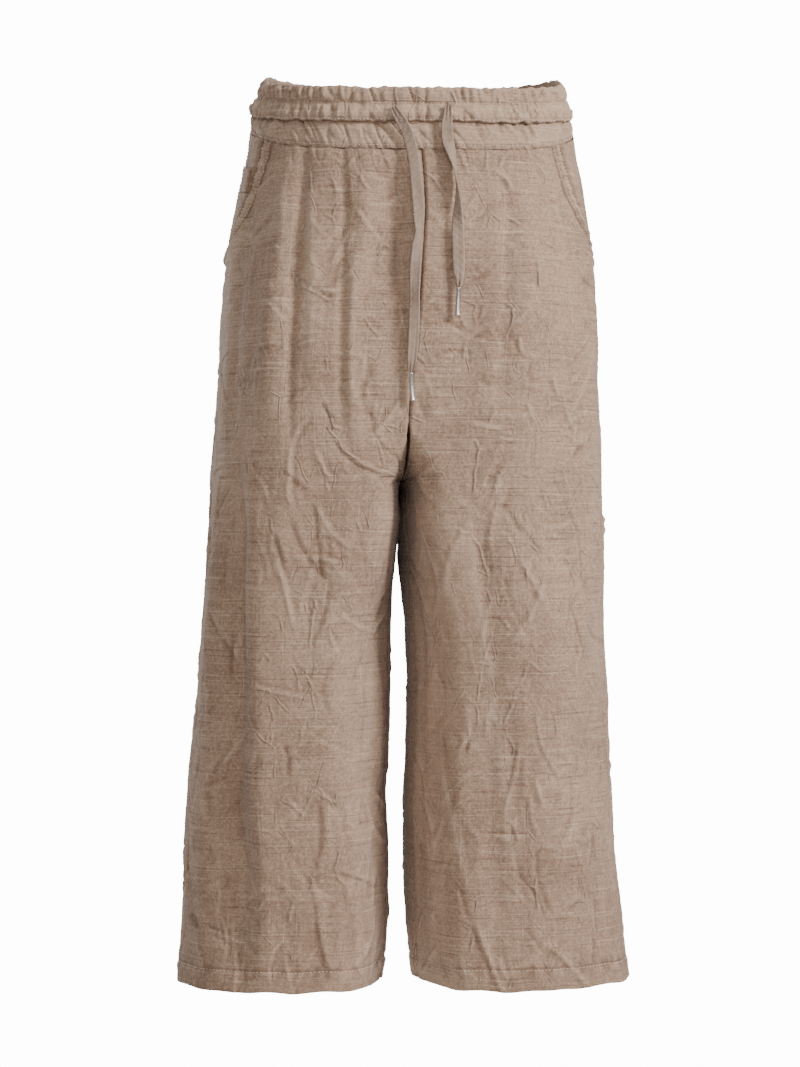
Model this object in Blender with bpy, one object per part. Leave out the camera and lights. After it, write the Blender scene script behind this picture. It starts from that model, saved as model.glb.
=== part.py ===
"""Wide-leg culottes in crumpled linen, in their worn shape with nobody inside.

Units are metres. +Z is up, the front faces -Y and +X is the wearer's left. The origin is the middle of the
waist opening, level with the drawcord channel at the sides, where the wearer holds the garment up.

The cloth follows one surface, given by level sections: half a ring for each side of the body above the crotch
and a whole ring for each leg below it. A place on a section is named by its reach: 0 is the centre front seam
or the inseam, 1 is the side seam, and 2 is the centre back seam or the inseam again. Every piece of cloth is a
patch of that surface with a wall.
"""

import math

import bmesh
import bpy
import numpy as np

# ---- Driving sizes ----------------------------------------------------------------------------------------
WALL = 0.0013  # the linen with its puckered surface
GAP = 0.0003  # between two pieces
HEM_WALL = 0.0022  # the hem is turned up twice
HEM_DEPTH = 0.0185

HEM_Z = -0.8075
CROTCH_Z = -0.345
CROTCH_Y = -0.005
FRONT_TURN_Z = -0.295  # here the centre front seam turns under towards the crotch
BACK_TURN_Z = -0.238
SIDE_Y = 0.004  # the side seams lie just behind the widest place

LEG_INNER_SQUARENESS = 2.5
CROTCH_SQUARENESS = 6.5  # at the crotch the cloth stays flat until close to the centre seam
ROUNDS_BELOW_CROTCH = 0.16  # how far down the legs it takes to round off
TORSO_AND_OUTER_SQUARENESS = 2.25
INNER_LEAN = 0.009  # the cloth inside the legs slants, so that the front is narrower than the back
CORNER_POINTS = 28
UNDER_POWER = 6  # how close to the centre seam the cloth that turns under keeps


def table(names, *rows):
    """A short table as one array for each named column."""
    return dict(zip(names.split(), np.array(rows, dtype=float).T))


# How far the cloth reaches at each height: to the wearer's right and left, and to the front and back. The
# middle is where the centre seams run, and the peak is how far out, between the middle and the side, the front
# and back stand furthest forward and back.
BODY = table(
    "z right left middle front back peak",
    (0.040, -0.1280, 0.1330, 0.0000, -0.0990, 0.0960, 0.00),
    (0.028, -0.1345, 0.1385, 0.0000, -0.1010, 0.0980, 0.00),
    (0.019, -0.1395, 0.1405, 0.0000, -0.1025, 0.1000, 0.00),
    (0.008, -0.1450, 0.1450, 0.0000, -0.1045, 0.1030, 0.00),
    (-0.003, -0.1480, 0.1470, 0.0002, -0.1065, 0.1055, 0.00),
    (-0.020, -0.1500, 0.1495, 0.0005, -0.1090, 0.1090, 0.01),
    (-0.045, -0.1530, 0.1525, 0.0008, -0.1120, 0.1140, 0.02),
    (-0.077, -0.1600, 0.1590, 0.0030, -0.1150, 0.1200, 0.05),
    (-0.105, -0.1655, 0.1635, 0.0045, -0.1175, 0.1265, 0.10),
    (-0.133, -0.1710, 0.1675, 0.0030, -0.1200, 0.1335, 0.16),
    (-0.189, -0.1765, 0.1710, -0.0010, -0.1225, 0.1390, 0.27),
    (-0.245, -0.1795, 0.1730, -0.0070, -0.1230, 0.1375, 0.36),
    (-0.295, -0.1825, 0.1740, -0.0103, -0.1215, 0.1330, 0.41),
    (-0.345, -0.1855, 0.1752, -0.0103, -0.1190, 0.1280, 0.42),
    (-0.430, -0.1915, 0.1785, -0.0103, -0.1130, 0.1190, 0.41),
    (-0.486, -0.1950, 0.1800, -0.0103, -0.1090, 0.1140, 0.40),
    (-0.542, -0.2000, 0.1820, -0.0103, -0.1050, 0.1095, 0.40),
    (-0.598, -0.2045, 0.1845, -0.0103, -0.1010, 0.1055, 0.39),
    (-0.654, -0.2090, 0.1880, -0.0103, -0.0970, 0.1015, 0.38),
    (-0.710, -0.2115, 0.1915, -0.0103, -0.0935, 0.0980, 0.37),
    (-0.760, -0.2145, 0.1975, -0.0103, -0.0915, 0.0955, 0.36),
    (-0.8075, -0.2175, 0.2030, -0.0103, -0.0900, 0.0940, 0.36),
)
# The inside of each leg: how far in it reaches, where that is from front to back, and where the inseam lies.
LEG = table(
    "z right left inner_y seam_y",
    (-0.345, -0.0106, -0.0100, -0.005, -0.005),
    (-0.357, -0.0120, -0.0086, 0.002, -0.010),
    (-0.380, -0.0112, -0.0094, 0.010, -0.016),
    (-0.400, -0.0132, -0.0085, 0.015, -0.019),
    (-0.431, -0.0165, -0.0076, 0.018, -0.021),
    (-0.449, -0.0183, -0.0070, 0.020, -0.022),
    (-0.505, -0.0188, -0.0042, 0.020, -0.022),
    (-0.561, -0.0197, -0.0037, 0.020, -0.020),
    (-0.598, -0.0220, -0.0045, 0.020, -0.018),
    (-0.635, -0.0236, -0.0060, 0.020, -0.016),
    (-0.680, -0.0212, -0.0055, 0.018, -0.015),
    (-0.747, -0.0220, -0.0037, 0.016, -0.014),
    (-0.784, -0.0245, -0.0016, 0.014, -0.014),
    (-0.8075, -0.0285, 0.0010, 0.012, -0.014),
)
# The seams round the top lie level at the sides, dip at the front and rise a little at the back.
SEAMS = {
    "top": {"side": 0.0275, "front": 0.0247, "back": 0.0050},
    "channel": {"side": 0.0112, "front": 0.0218, "back": 0.0050},
    "casing": {"side": -0.0072, "front": 0.0221, "back": 0.0050},
    "yoke": {"side": -0.0214, "front": 0.0325, "back": 0.0060},
}
DIP_FADES_AT = -0.150  # below this height the rows of cloth are level

# The largest soft folds: where each begins and ends, as side (+1 the wearer's left), reach and height, how wide
# it is, and how far it stands in (negative) or out.
FOLDS = table(
    "side reach_top z_top reach_low z_low width height",
    (-1, 0.66, -0.330, 0.555, -0.790, 0.022, -0.0090),  # trough down the outer front of the right leg
    (-1, 0.51, -0.340, 0.430, -0.780, 0.026, 0.0045),  # ridge beside it
    (-1, 0.13, -0.050, 0.12, -0.250, 0.018, -0.0040),  # shadowed hollow beside the centre front
    (-1, 0.57, -0.060, 0.52, -0.300, 0.022, 0.0035),
    (-1, 0.16, -0.420, 0.12, -0.740, 0.022, -0.0030),
    (1, 0.24, -0.380, 0.34, -0.770, 0.026, -0.0025),  # long slanting hollow on the left leg
    (1, 0.44, -0.360, 0.50, -0.750, 0.028, 0.0030),
    (1, 0.20, -0.080, 0.16, -0.280, 0.022, -0.0030),
    (1, 0.80, -0.420, 0.84, -0.750, 0.024, -0.0040),
    (1, 1.36, -0.240, 1.30, -0.740, 0.028, -0.0070),
    (1, 1.62, -0.300, 1.66, -0.750, 0.028, 0.0050),
    (-1, 1.34, -0.260, 1.38, -0.750, 0.028, -0.0070),
    (-1, 1.64, -0.310, 1.60, -0.730, 0.028, 0.0050),
)

# The front pocket mouth curves from the yoke seam down to the side seam.
POCKET_WIDTHS = {-1: 0.060, 1: 0.074}  # from the side seam, along the yoke seam
POCKET_LOW = -0.137
POCKET_UNDERLAP = 0.010  # how far the facing goes under the front
POCKET_UNDER = WALL + GAP + 0.0023  # how deep it lies there; the flat facets of the front take up the rest

# Each drawcord end: sideways place, height, how far its middle stands off the cloth, turn of the flat tape
# about its own length, and how wide it lies.
CORD_THICKNESS = 0.0015
RIGHT_CORD = table(
    "x z clear turn width",
    (-0.0238, -0.0168, 0.0034, 0, 0.0050),
    (-0.0215, -0.0225, 0.0058, 10, 0.0075),
    (-0.0165, -0.0310, 0.0066, 20, 0.0100),
    (-0.0110, -0.0430, 0.0056, 18, 0.0105),
    (-0.0070, -0.0590, 0.0050, 10, 0.0105),
    (-0.0042, -0.0800, 0.0046, 4, 0.0105),
    (-0.0026, -0.1000, 0.0044, 0, 0.0105),
    (-0.0018, -0.1170, 0.0046, -12, 0.0100),
    (-0.0020, -0.1300, 0.0054, -45, 0.0095),
    (-0.0040, -0.1430, 0.0052, -20, 0.0095),
    (-0.0052, -0.1620, 0.0046, 6, 0.0100),
    (-0.0058, -0.1850, 0.0048, 25, 0.0100),
    (-0.0062, -0.2050, 0.0048, 12, 0.0100),
    (-0.0070, -0.2250, 0.0044, 0, 0.0095),
    (-0.0082, -0.2430, 0.0042, 0, 0.0085),
    (-0.0090, -0.2535, 0.0042, 0, 0.0048),
)
LEFT_CORD = table(
    "x z clear turn width",
    (0.0252, -0.0150, 0.0034, 0, 0.0050),
    (0.0245, -0.0240, 0.0056, 8, 0.0080),
    (0.0236, -0.0350, 0.0064, 6, 0.0105),
    (0.0246, -0.0480, 0.0052, -10, 0.0110),
    (0.0280, -0.0600, 0.0062, -40, 0.0108),
    (0.0308, -0.0740, 0.0072, -72, 0.0105),
    (0.0320, -0.0900, 0.0074, -95, 0.0105),
    (0.0326, -0.1050, 0.0070, -125, 0.0105),
    (0.0326, -0.1180, 0.0060, -155, 0.0108),
    (0.0328, -0.1310, 0.0048, -178, 0.0110),
    (0.0332, -0.1480, 0.0044, -180, 0.0110),
    (0.0334, -0.1620, 0.0042, -180, 0.0105),
    (0.0335, -0.1710, 0.0042, -180, 0.0085),
    (0.0334, -0.1780, 0.0042, -180, 0.0048),
)
CORD_RINGS = 36
AGLET_LENGTH = 0.0255
AGLET_RADIUS = 0.0021
AGLET_SIDES = 16

# Colours as linear red, green and blue
LINEN = (0.36, 0.27, 0.21)
TAPE = (0.34, 0.26, 0.20)
NICKEL = (0.72, 0.71, 0.69)


# ---- Reading the tables -----------------------------------------------------------------------------------
def smooth(value, low, high):
    """0 at low and 1 at high, with an S-curve between."""
    share = np.clip((value - low) / (high - low), 0.0, 1.0)
    return share * share * (3.0 - 2.0 * share)


def read(columns, name, z):
    """A column at height z, on a smooth curve through the rows."""
    heights, values = columns["z"][::-1], columns[name][::-1]
    slopes = np.gradient(values, heights)
    k = int(np.clip(np.searchsorted(heights, z) - 1, 0, len(heights) - 2))
    span = heights[k + 1] - heights[k]
    t = min(max((z - heights[k]) / span, 0.0), 1.0)
    start, end = values[k], values[k + 1]
    cubic = (2 * t**3 - 3 * t**2 + 1) * start + (3 * t**2 - 2 * t**3) * end
    return cubic + span * ((t**3 - 2 * t**2 + t) * slopes[k] + (t**3 - t**2) * slopes[k + 1])


def seam_height(name, reach):
    """Height of one of the seams round the top, at a reach."""
    seam = SEAMS[name]
    forward = math.cos(math.pi / 2 * reach)
    if forward >= 0:
        return seam["side"] - seam["front"] * (1 - (1 - forward) ** 1.5)
    power = 1.5 * seam["front"] / seam["back"]
    return seam["side"] + seam["back"] * (1 - (1 + forward) ** power)


# ---- The surface ------------------------------------------------------------------------------------------
def corner(start, end, squareness, lean=0.0):
    """A quarter of a superellipse that leaves start along Y, slanted by lean, and reaches end along X."""
    angle = np.linspace(0, math.pi / 2, CORNER_POINTS)
    across = 1 - np.abs(np.cos(angle)) ** (2 / squareness)
    along = np.sin(angle) ** (2 / squareness)
    x = start[0] + lean * along + (end[0] - start[0] - lean) * across
    y = start[1] + (end[1] - start[1]) * along
    return np.stack([x, y], axis=1)


def turn_under(z, turn_z, outer_y):
    """Where the centre seam lies at height z, on its quarter ellipse from outer_y in to the crotch."""
    share = min(max((turn_z - z) / (turn_z - CROTCH_Z), 0.0), 1.0)
    return outer_y + (CROTCH_Y - outer_y) * (1 - math.sqrt(1 - share * share))


def section(side, z):
    """The front and back quarters of one side at height z: the front from the centre or inseam to the side
    seam, and the back from the side seam to the centre or inseam. Then how far in they reach."""
    name = "left" if side > 0 else "right"
    outer, front, back = (read(BODY, column, z) for column in (name, "front", "back"))
    if z >= CROTCH_Z:
        inner = read(BODY, "middle", z)
        front_start = turn_under(z, FRONT_TURN_Z, front)
        back_start = turn_under(z, BACK_TURN_Z, back)
    else:
        inner = read(LEG, name, z)
        front_start = back_start = read(LEG, "inner_y", z)
    peak = inner + read(BODY, "peak", z) * (outer - inner)
    lean = side * INNER_LEAN * smooth(FRONT_TURN_Z - z, 0.0, FRONT_TURN_Z - CROTCH_Z)
    rounded = smooth(CROTCH_Z - z, 0.0, ROUNDS_BELOW_CROTCH)
    squareness = CROTCH_SQUARENESS + rounded * (LEG_INNER_SQUARENESS - CROTCH_SQUARENESS)
    widest = (outer, SIDE_Y)
    front_line = np.concatenate(
        [
            corner((inner, front_start), (peak, front), squareness, lean),
            corner(widest, (peak, front), TORSO_AND_OUTER_SQUARENESS)[::-1],
        ]
    )
    back_line = np.concatenate(
        [
            corner(widest, (peak, back), TORSO_AND_OUTER_SQUARENESS),
            corner((inner, back_start), (peak, back), squareness)[::-1],
        ]
    )
    if z < CROTCH_Z:
        front_line, back_line = move_inseam(front_line, back_line, read(LEG, "seam_y", z))
    return front_line, back_line, inner


def move_inseam(front_line, back_line, seam_y):
    """Hands the part of the front behind seam_y over to the back."""
    first = int(np.argmax(front_line[:, 1] <= seam_y))
    if first == 0:
        return front_line, back_line
    before, after = front_line[first - 1], front_line[first]
    share = (before[1] - seam_y) / (before[1] - after[1])
    seam = before + share * (after - before)
    given = np.concatenate([front_line[:first], [seam]])
    return np.concatenate([[seam], front_line[first:]]), np.concatenate([back_line, given])


SECTIONS = {}


def measured_section(side, z):
    """Both quarters from the side seam inwards, kept for the next call: their points, the distances along
    them, and their plain width, which leaves out the cloth that turns under between the legs."""
    key = (side, round(z, 7))
    if key not in SECTIONS:
        front, back, inner = section(side, z)
        quarters = []
        for line in (front[::-1], back):
            steps = np.linalg.norm(np.diff(line, axis=0), axis=1)
            distance = np.concatenate([[0.0], np.cumsum(steps)])
            plain = distance[CORNER_POINTS - 1] + abs(line[CORNER_POINTS - 1, 0] - inner)
            quarters.append((line, distance, plain))
        SECTIONS[key] = quarters
    return SECTIONS[key]


def plain_width(side, reach, z):
    """Width of the front or the back of one side, without the cloth that turns under."""
    return measured_section(side, z)[0 if reach <= 1 else 1][2]


def half_gap(side, reach, z):
    """Half of the gap of a seam, as reach: at the centre or inseam for 0 and 2, else at the side."""
    _, distance, plain = measured_section(side, z)[0 if reach <= 1 else 1]
    turned = distance[-1] - plain if reach in (0, 2) else 0.0
    return GAP / 2 / (plain + UNDER_POWER * turned)


def fold_height(side, reach, z):
    """How far the large folds move the cloth out at a place."""
    total = 0.0
    for row in range(len(FOLDS["side"])):
        fold = {name: values[row] for name, values in FOLDS.items()}
        if fold["side"] != side or (fold["reach_top"] > 1) != (reach > 1):
            continue
        share = (fold["z_top"] - z) / (fold["z_top"] - fold["z_low"])
        centre = fold["reach_top"] + share * (fold["reach_low"] - fold["reach_top"])
        away = (reach - centre) * plain_width(side, reach, z) / fold["width"]
        ends = smooth(share, -0.05, 0.22) * smooth(share, 1.05, 0.75)
        total += fold["height"] * ends * math.exp(-away * away)
    # Folds die out at the seams, where the cloth is held.
    held = min(abs(reach - seam) for seam in (0, 1, 2)) * plain_width(side, reach, z)
    return total * smooth(held, 0.0, 0.015)


def bare_place(side, reach, z):
    """The point of the surface at a reach and height, before folds."""
    line, distance, plain = measured_section(side, z)[0 if reach <= 1 else 1]
    inwards = abs(1 - reach)
    along = inwards * plain + (distance[-1] - plain) * inwards**UNDER_POWER
    return np.array([np.interp(along, distance, line[:, 0]), np.interp(along, distance, line[:, 1]), z])


def outward(side, reach, z):
    """Unit vector square to the surface, pointing out of the garment."""
    step, rise = 0.02, 0.0015
    if reach - step < 0 or reach + step > 2:
        edge = 0.0 if reach < 1 else 2.0
        inside = edge + step if edge == 0 else edge - step
        turn_z = FRONT_TURN_Z if edge == 0 else BACK_TURN_Z
        if z > turn_z:
            along = np.array([1.0, 0.0, 0.0]) * (side if edge == 0 else -side)
        elif z < CROTCH_Z:
            along = bare_place(side, step, z) - bare_place(side, 2 - step, z)
        else:
            along = bare_place(side, inside, z) - bare_place(side, edge, z)
            along = along if edge == 0 else -along
    else:
        along = bare_place(side, reach + step, z) - bare_place(side, reach - step, z)
    top, low = min(z + rise, 0.040), max(z - rise, HEM_Z)
    if z >= CROTCH_Z > low:
        low = z
    if z < CROTCH_Z <= top:
        top = z
    upward = bare_place(side, reach, top) - bare_place(side, reach, low)
    normal = side * np.cross(along, upward)
    return normal / np.linalg.norm(normal)


def place(side, reach, z, out=0.0):
    """A point of the cloth, moved out from the surface by out and the folds."""
    normal = outward(side, reach, z)
    point = bare_place(side, reach, z) + normal * (out + fold_height(side, reach, z))
    middle = read(BODY, "middle", z)
    if z >= CROTCH_Z and (reach < 0.01 or reach > 1.99):
        point[0] = side * max(side * point[0], side * middle + GAP / 2)
    return point


# ---- Making solids ----------------------------------------------------------------------------------------
def material(name, colour, roughness, metallic=0.0):
    """A Principled finish."""
    made = bpy.data.materials.get(name) or bpy.data.materials.new(name)
    made.use_nodes = True
    shader = made.node_tree.nodes["Principled BSDF"]
    shader.inputs["Base Color"].default_value = (*colour, 1.0)
    shader.inputs["Roughness"].default_value = roughness
    shader.inputs["Metallic"].default_value = metallic
    return made


def solid(name, points, faces, finish):
    """A mesh object whose faces point out."""
    volume = 0.0
    for face in faces:
        for k in range(1, len(face) - 1):
            volume += np.dot(points[face[0]], np.cross(points[face[k]], points[face[k + 1]]))
    if volume < 0:
        faces = [face[::-1] for face in faces]
    mesh = bpy.data.meshes.new(name)
    mesh.from_pydata([tuple(point) for point in points], [], faces)
    work = bmesh.new()
    work.from_mesh(mesh)
    bmesh.ops.triangulate(work, faces=work.faces)
    work.to_mesh(mesh)
    work.free()
    mesh.shade_smooth()
    mesh.materials.append(finish)
    made = bpy.data.objects.new(name, mesh)
    bpy.context.scene.collection.objects.link(made)
    return made


def walled(name, outer, inner, finish, ring=False):
    """A wall between two grids of points, closed along its edges. A ring's columns meet round the back."""
    rows, columns = outer.shape[:2]
    points = np.concatenate([outer.reshape(-1, 3), inner.reshape(-1, 3)])

    def at(layer, row, column):
        return layer * rows * columns + row * columns + column % columns

    faces = []
    for column in range(columns if ring else columns - 1):
        right = column + 1
        for row in range(rows - 1):
            low = row + 1
            faces.append((at(0, row, column), at(0, low, column), at(0, low, right), at(0, row, right)))
            faces.append((at(1, row, right), at(1, low, right), at(1, low, column), at(1, row, column)))
        last = rows - 1
        faces.append((at(0, 0, column), at(0, 0, right), at(1, 0, right), at(1, 0, column)))
        faces.append((at(0, last, right), at(0, last, column), at(1, last, column), at(1, last, right)))
    if not ring:
        last = columns - 1
        for row in range(rows - 1):
            low = row + 1
            faces.append((at(0, low, 0), at(0, row, 0), at(1, row, 0), at(1, low, 0)))
            faces.append((at(0, row, last), at(0, low, last), at(1, low, last), at(1, row, last)))
    return solid(name, points, faces, finish)


def rings_solid(name, rings, finish):
    """A closed solid through a run of rings, with a flat cap on each end."""
    rings = np.array(rings)
    count, sides = rings.shape[:2]
    faces = [tuple(range(sides)), tuple(range(count * sides - 1, (count - 1) * sides - 1, -1))]
    for ring in range(count - 1):
        for k in range(sides):
            a, b = ring * sides + k, ring * sides + (k + 1) % sides
            faces.append((a, a + sides, b + sides, b))
    return solid(name, rings.reshape(-1, 3), faces, finish)


# ---- Panels -----------------------------------------------------------------------------------------------
PANEL_LEVELS = (
    [-0.0214, -0.040, -0.059, -0.078, -0.097, -0.115, -0.128, -0.1372, -0.165, -0.195, -0.225, -0.260]
    + [FRONT_TURN_Z + (CROTCH_Z - FRONT_TURN_Z) * math.sin(math.radians(a)) for a in (0, 22, 45, 68, 90)]
    + [-0.357, -0.385, -0.425, -0.480, -0.540, -0.600, -0.660, -0.725]
)
HEM_LEVELS = [HEM_Z + HEM_DEPTH + 0.0006, HEM_Z + HEM_DEPTH, HEM_Z]
PANEL_COLUMNS = 13


def row_height(reach, level):
    """Height of a row of a panel: the top row follows the yoke seam, and the rows level out below it."""
    top = SEAMS["yoke"]["side"]
    dip = seam_height("yoke", reach) - top
    return level + dip * (1 - smooth(-level, -top, -DIP_FADES_AT))


def pocket_reach(side, level):
    """Reach of the pocket mouth at a level, or 1 below the pocket."""
    top = SEAMS["yoke"]["side"]
    share = (top - level) / (top - POCKET_LOW)
    if share >= 1:
        return 1.0
    width = POCKET_WIDTHS[side] * math.sqrt(1 - share**3)
    return 1.0 - width / plain_width(side, 1, level)


def panel(name, side, is_front, finish):
    """A front or back leg panel, from the yoke seam to the hem."""
    outer, inner = [], []
    for level in PANEL_LEVELS + HEM_LEVELS:
        if is_front:
            start = half_gap(side, 0, level)
            stop = min(pocket_reach(side, level), 1.0 - half_gap(side, 1, level))
        else:
            start, stop = 1.0 + half_gap(side, 1.5, level), 2.0 - half_gap(side, 2, level)
        in_hem = level <= HEM_Z + HEM_DEPTH
        top_gap = GAP / 2 if level == PANEL_LEVELS[0] else 0.0
        outer_row, inner_row = [], []
        for reach in np.linspace(start, stop, PANEL_COLUMNS + 1):
            z = row_height(reach, level) - top_gap
            raised = 0.0004 if in_hem else 0.0
            outer_row.append(place(side, reach, z, raised))
            inner_row.append(place(side, reach, z, raised - (HEM_WALL if in_hem else WALL)))
        outer.append(outer_row)
        inner.append(inner_row)
    return walled(name, np.array(outer), np.array(inner), finish)


def pocket_facing(name, side, finish):
    """The cloth that shows inside the pocket mouth: under the front at its edge, level with the back panel at
    the side seam."""
    top = SEAMS["yoke"]["side"]
    levels = [level for level in PANEL_LEVELS if level > POCKET_LOW + 0.008] + [POCKET_LOW + 0.004]
    outer, inner = [], []
    for level in levels:
        length = plain_width(side, 1, level)
        mouth = pocket_reach(side, level)
        stop = 1.0 - half_gap(side, 1, level)
        outer_row, inner_row = [], []
        for reach in np.linspace(mouth - POCKET_UNDERLAP / length, stop, 8):
            z = row_height(reach, level) - (GAP / 2 if level == top else 0.0)
            beyond = (reach - mouth) * length
            under = POCKET_UNDER * (1 - smooth(beyond, 0.002, 0.014))
            outer_row.append(place(side, reach, z, -under))
            inner_row.append(place(side, reach, z, -under - WALL))
        outer.append(outer_row)
        inner.append(inner_row)
    return walled(name, np.array(outer), np.array(inner), finish)


COIN_POCKET = {"near": 0.024, "far": 0.047, "top": -0.052, "low": -0.078}  # from the side seam, and heights


def coin_pocket(finish):
    """A small patch sewn on the right facing, half under the edge of the pocket mouth."""
    side = -1
    outer, inner = [], []
    for level in np.linspace(COIN_POCKET["top"], COIN_POCKET["low"], 4):
        length = plain_width(side, 1, level)
        outer_row, inner_row = [], []
        for away in np.linspace(COIN_POCKET["far"], COIN_POCKET["near"], 5):
            reach = 1.0 - away / length
            z = row_height(reach, level)
            beyond = (reach - pocket_reach(side, level)) * length
            under = POCKET_UNDER * (1 - smooth(beyond, 0.002, 0.014))
            base = GAP - under
            outer_row.append(place(side, reach, z, base + 0.0010))
            inner_row.append(place(side, reach, z, base))
        outer.append(outer_row)
        inner.append(inner_row)
    return walled("coin_pocket", np.array(outer), np.array(inner), finish)


# ---- Yoke and waist casing --------------------------------------------------------------------------------
def yoke(name, first, last, finish):
    """The band between the casing and the panels. first and last are its ends, as (side, reach)."""
    ends = ring_places(32, first, last)
    outer, inner = [], []
    for share in np.linspace(0, 1, 4):
        outer_row, inner_row = [], []
        for side, reach in ends:
            top, low = seam_height("casing", reach) - GAP / 2, seam_height("yoke", reach) + GAP / 2
            z = top + share * (low - top)
            out = -0.0008 * (1 - smooth(share, 0.1, 0.9))
            outer_row.append(place(side, reach, z, out))
            inner_row.append(place(side, reach, z, out - WALL))
        outer.append(outer_row)
        inner.append(inner_row)
    return walled(name, np.array(outer), np.array(inner), finish)


def ring_places(count, first, last):
    """Places round the body from first to last, each as (side, reach). Turns run from the centre front over
    the left side, the centre back and the right side, which is 0 to 4."""
    places = []
    for turn in np.linspace(first, last, count + 1):
        around = turn % 4.0
        places.append((1, around) if around <= 2 else (-1, 4 - around))
    return places


# The casing from its top edge down: share of the way to the bottom edge, and how far the outside and inside
# stand off the surface. The channel stitching is the narrow place between the two bulges.
CASING = table(
    "share out inside",
    (0.00, -0.0016, -0.0030),
    (0.06, 0.0003, -0.0036),
    (0.24, 0.0009, -0.0036),
    (0.46, -0.0009, -0.0026),
    (0.58, 0.0006, -0.0032),
    (0.84, 0.0017, -0.0034),
    (1.00, 0.0002, -0.0026),
)
CASING_COLUMNS = 64
GATHER = 0.0007


def casing(finish):
    """The elasticated waist with its drawcord channel, one strip joined into a ring."""
    outer, inner = [], []
    places = ring_places(CASING_COLUMNS, 0.0, 4.0)[:-1]
    for share, out, inside in zip(CASING["share"], CASING["out"], CASING["inside"]):
        outer_row, inner_row = [], []
        for count, (side, reach) in enumerate(places):
            top, low = seam_height("top", reach), seam_height("casing", reach) + GAP / 2
            gather = GATHER * (1 if count % 2 else -1) * math.sin(math.pi * min(share / 0.92, 1.0))
            z = top + share * (low - top)
            normal = outward(side, reach, z)
            base = bare_place(side, reach, z)
            outer_row.append(base + normal * (out + gather))
            inner_row.append(base + normal * inside)
        outer.append(outer_row)
        inner.append(inner_row)
    return walled("waist_casing", np.array(outer), np.array(inner), finish, ring=True)


# ---- Drawcord ---------------------------------------------------------------------------------------------
def front_at(x, z):
    """The cloth's front at a sideways place and height."""
    side = 1 if x > read(BODY, "middle", z) else -1
    low, high = 0.0, 0.8
    for _ in range(30):
        half = (low + high) / 2
        if side * (bare_place(side, half, z)[0] - x) < 0:
            low = half
        else:
            high = half
    return bare_place(side, low, z)[1]


def catmull(values, t):
    """A smooth curve through a list of values, at t from 0 to 1."""
    spans = len(values) - 1
    k = min(int(t * spans), spans - 1)
    u = t * spans - k
    before, start, end, after = (values[min(max(k + j, 0), spans)] for j in (-1, 0, 1, 2))
    return start + 0.5 * u * (
        end - before + u * (2 * before - 5 * start + 4 * end - after + u * (3 * (start - end) + after - before))
    )


def cord_route(cord):
    """Points down the middle of the tape, with its turn and width."""
    lanes = {name: [catmull(cord[name], t) for t in np.linspace(0, 1, CORD_RINGS)] for name in cord}
    points = [
        np.array([x, front_at(x, z) - clear, z]) for x, z, clear in zip(lanes["x"], lanes["z"], lanes["clear"])
    ]
    return np.array(points), lanes["turn"], lanes["width"]


def drawcord(name, cord, finish):
    """One hanging end of the flat tape."""
    points, turns, widths = cord_route(cord)
    rings = []
    for k, (point, turn, width) in enumerate(zip(points, turns, widths)):
        along = points[min(k + 1, len(points) - 1)] - points[max(k - 1, 0)]
        along /= np.linalg.norm(along)
        across = np.cross(along, (0.0, 1.0, 0.0))
        across /= np.linalg.norm(across)
        depth = np.cross(along, across)
        angle = math.radians(turn)
        wide = across * math.cos(angle) + depth * math.sin(angle)
        deep = -across * math.sin(angle) + depth * math.cos(angle)
        half, thick = width / 2, CORD_THICKNESS / 2
        corners = ((-1, 0), (-0.8, 1), (0.8, 1), (1, 0), (0.8, -1), (-0.8, -1))
        rings.append([point + wide * half * u + deep * thick * v for u, v in corners])
    rings_solid(name, rings, finish)
    return points


def aglet(name, cord_points, lean, finish):
    """The metal tip below a drawcord end: a tube with a rolled mouth, closed inside."""
    top = cord_points[-1] + np.array([0.0, 0.0, -GAP])
    profile = table(
        "down radius",
        (0.0000, 0.0016),
        (0.0003, AGLET_RADIUS),
        (AGLET_LENGTH - 0.0016, AGLET_RADIUS),
        (AGLET_LENGTH - 0.0009, AGLET_RADIUS + 0.0002),
        (AGLET_LENGTH - 0.0002, AGLET_RADIUS),
        (AGLET_LENGTH, AGLET_RADIUS - 0.0004),
        (AGLET_LENGTH - 0.0012, 0.0009),
    )
    down = np.array([lean, 0.0, -1.0])
    down /= np.linalg.norm(down)
    across = np.array([0.0, -1.0, 0.0])
    other = np.cross(down, across)
    rings = []
    for distance, radius in zip(profile["down"], profile["radius"]):
        ring = []
        for k in range(AGLET_SIDES):
            angle = 2 * math.pi * k / AGLET_SIDES
            ring.append(top + down * distance + radius * (across * math.cos(angle) + other * math.sin(angle)))
        rings.append(ring)
    rings_solid(name, rings, finish)


# ---- The garment ------------------------------------------------------------------------------------------
def main():
    for old in list(bpy.data.objects):
        bpy.data.objects.remove(old)
    linen = material("linen", LINEN, 0.85)
    tape = material("drawcord_tape", TAPE, 0.85)
    nickel = material("nickel", NICKEL, 0.25, 1.0)

    casing(linen)
    small = 0.0008  # turns taken off each end of a yoke for its side seams
    yoke("yoke_front", 3.0 + small, 5.0 - small, linen)
    yoke("yoke_back", 1.0 + small, 3.0 - small, linen)
    for side, name in ((1, "left"), (-1, "right")):
        panel(f"front_{name}", side, True, linen)
        panel(f"back_{name}", side, False, linen)
        pocket_facing(f"pocket_facing_{name}", side, linen)
    coin_pocket(linen)

    right_points = drawcord("drawcord_right", RIGHT_CORD, tape)
    left_points = drawcord("drawcord_left", LEFT_CORD, tape)
    aglet("aglet_right", right_points, 0.06, nickel)
    aglet("aglet_left", left_points, -0.05, nickel)


if __name__ == "__main__":
    main()
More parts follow.
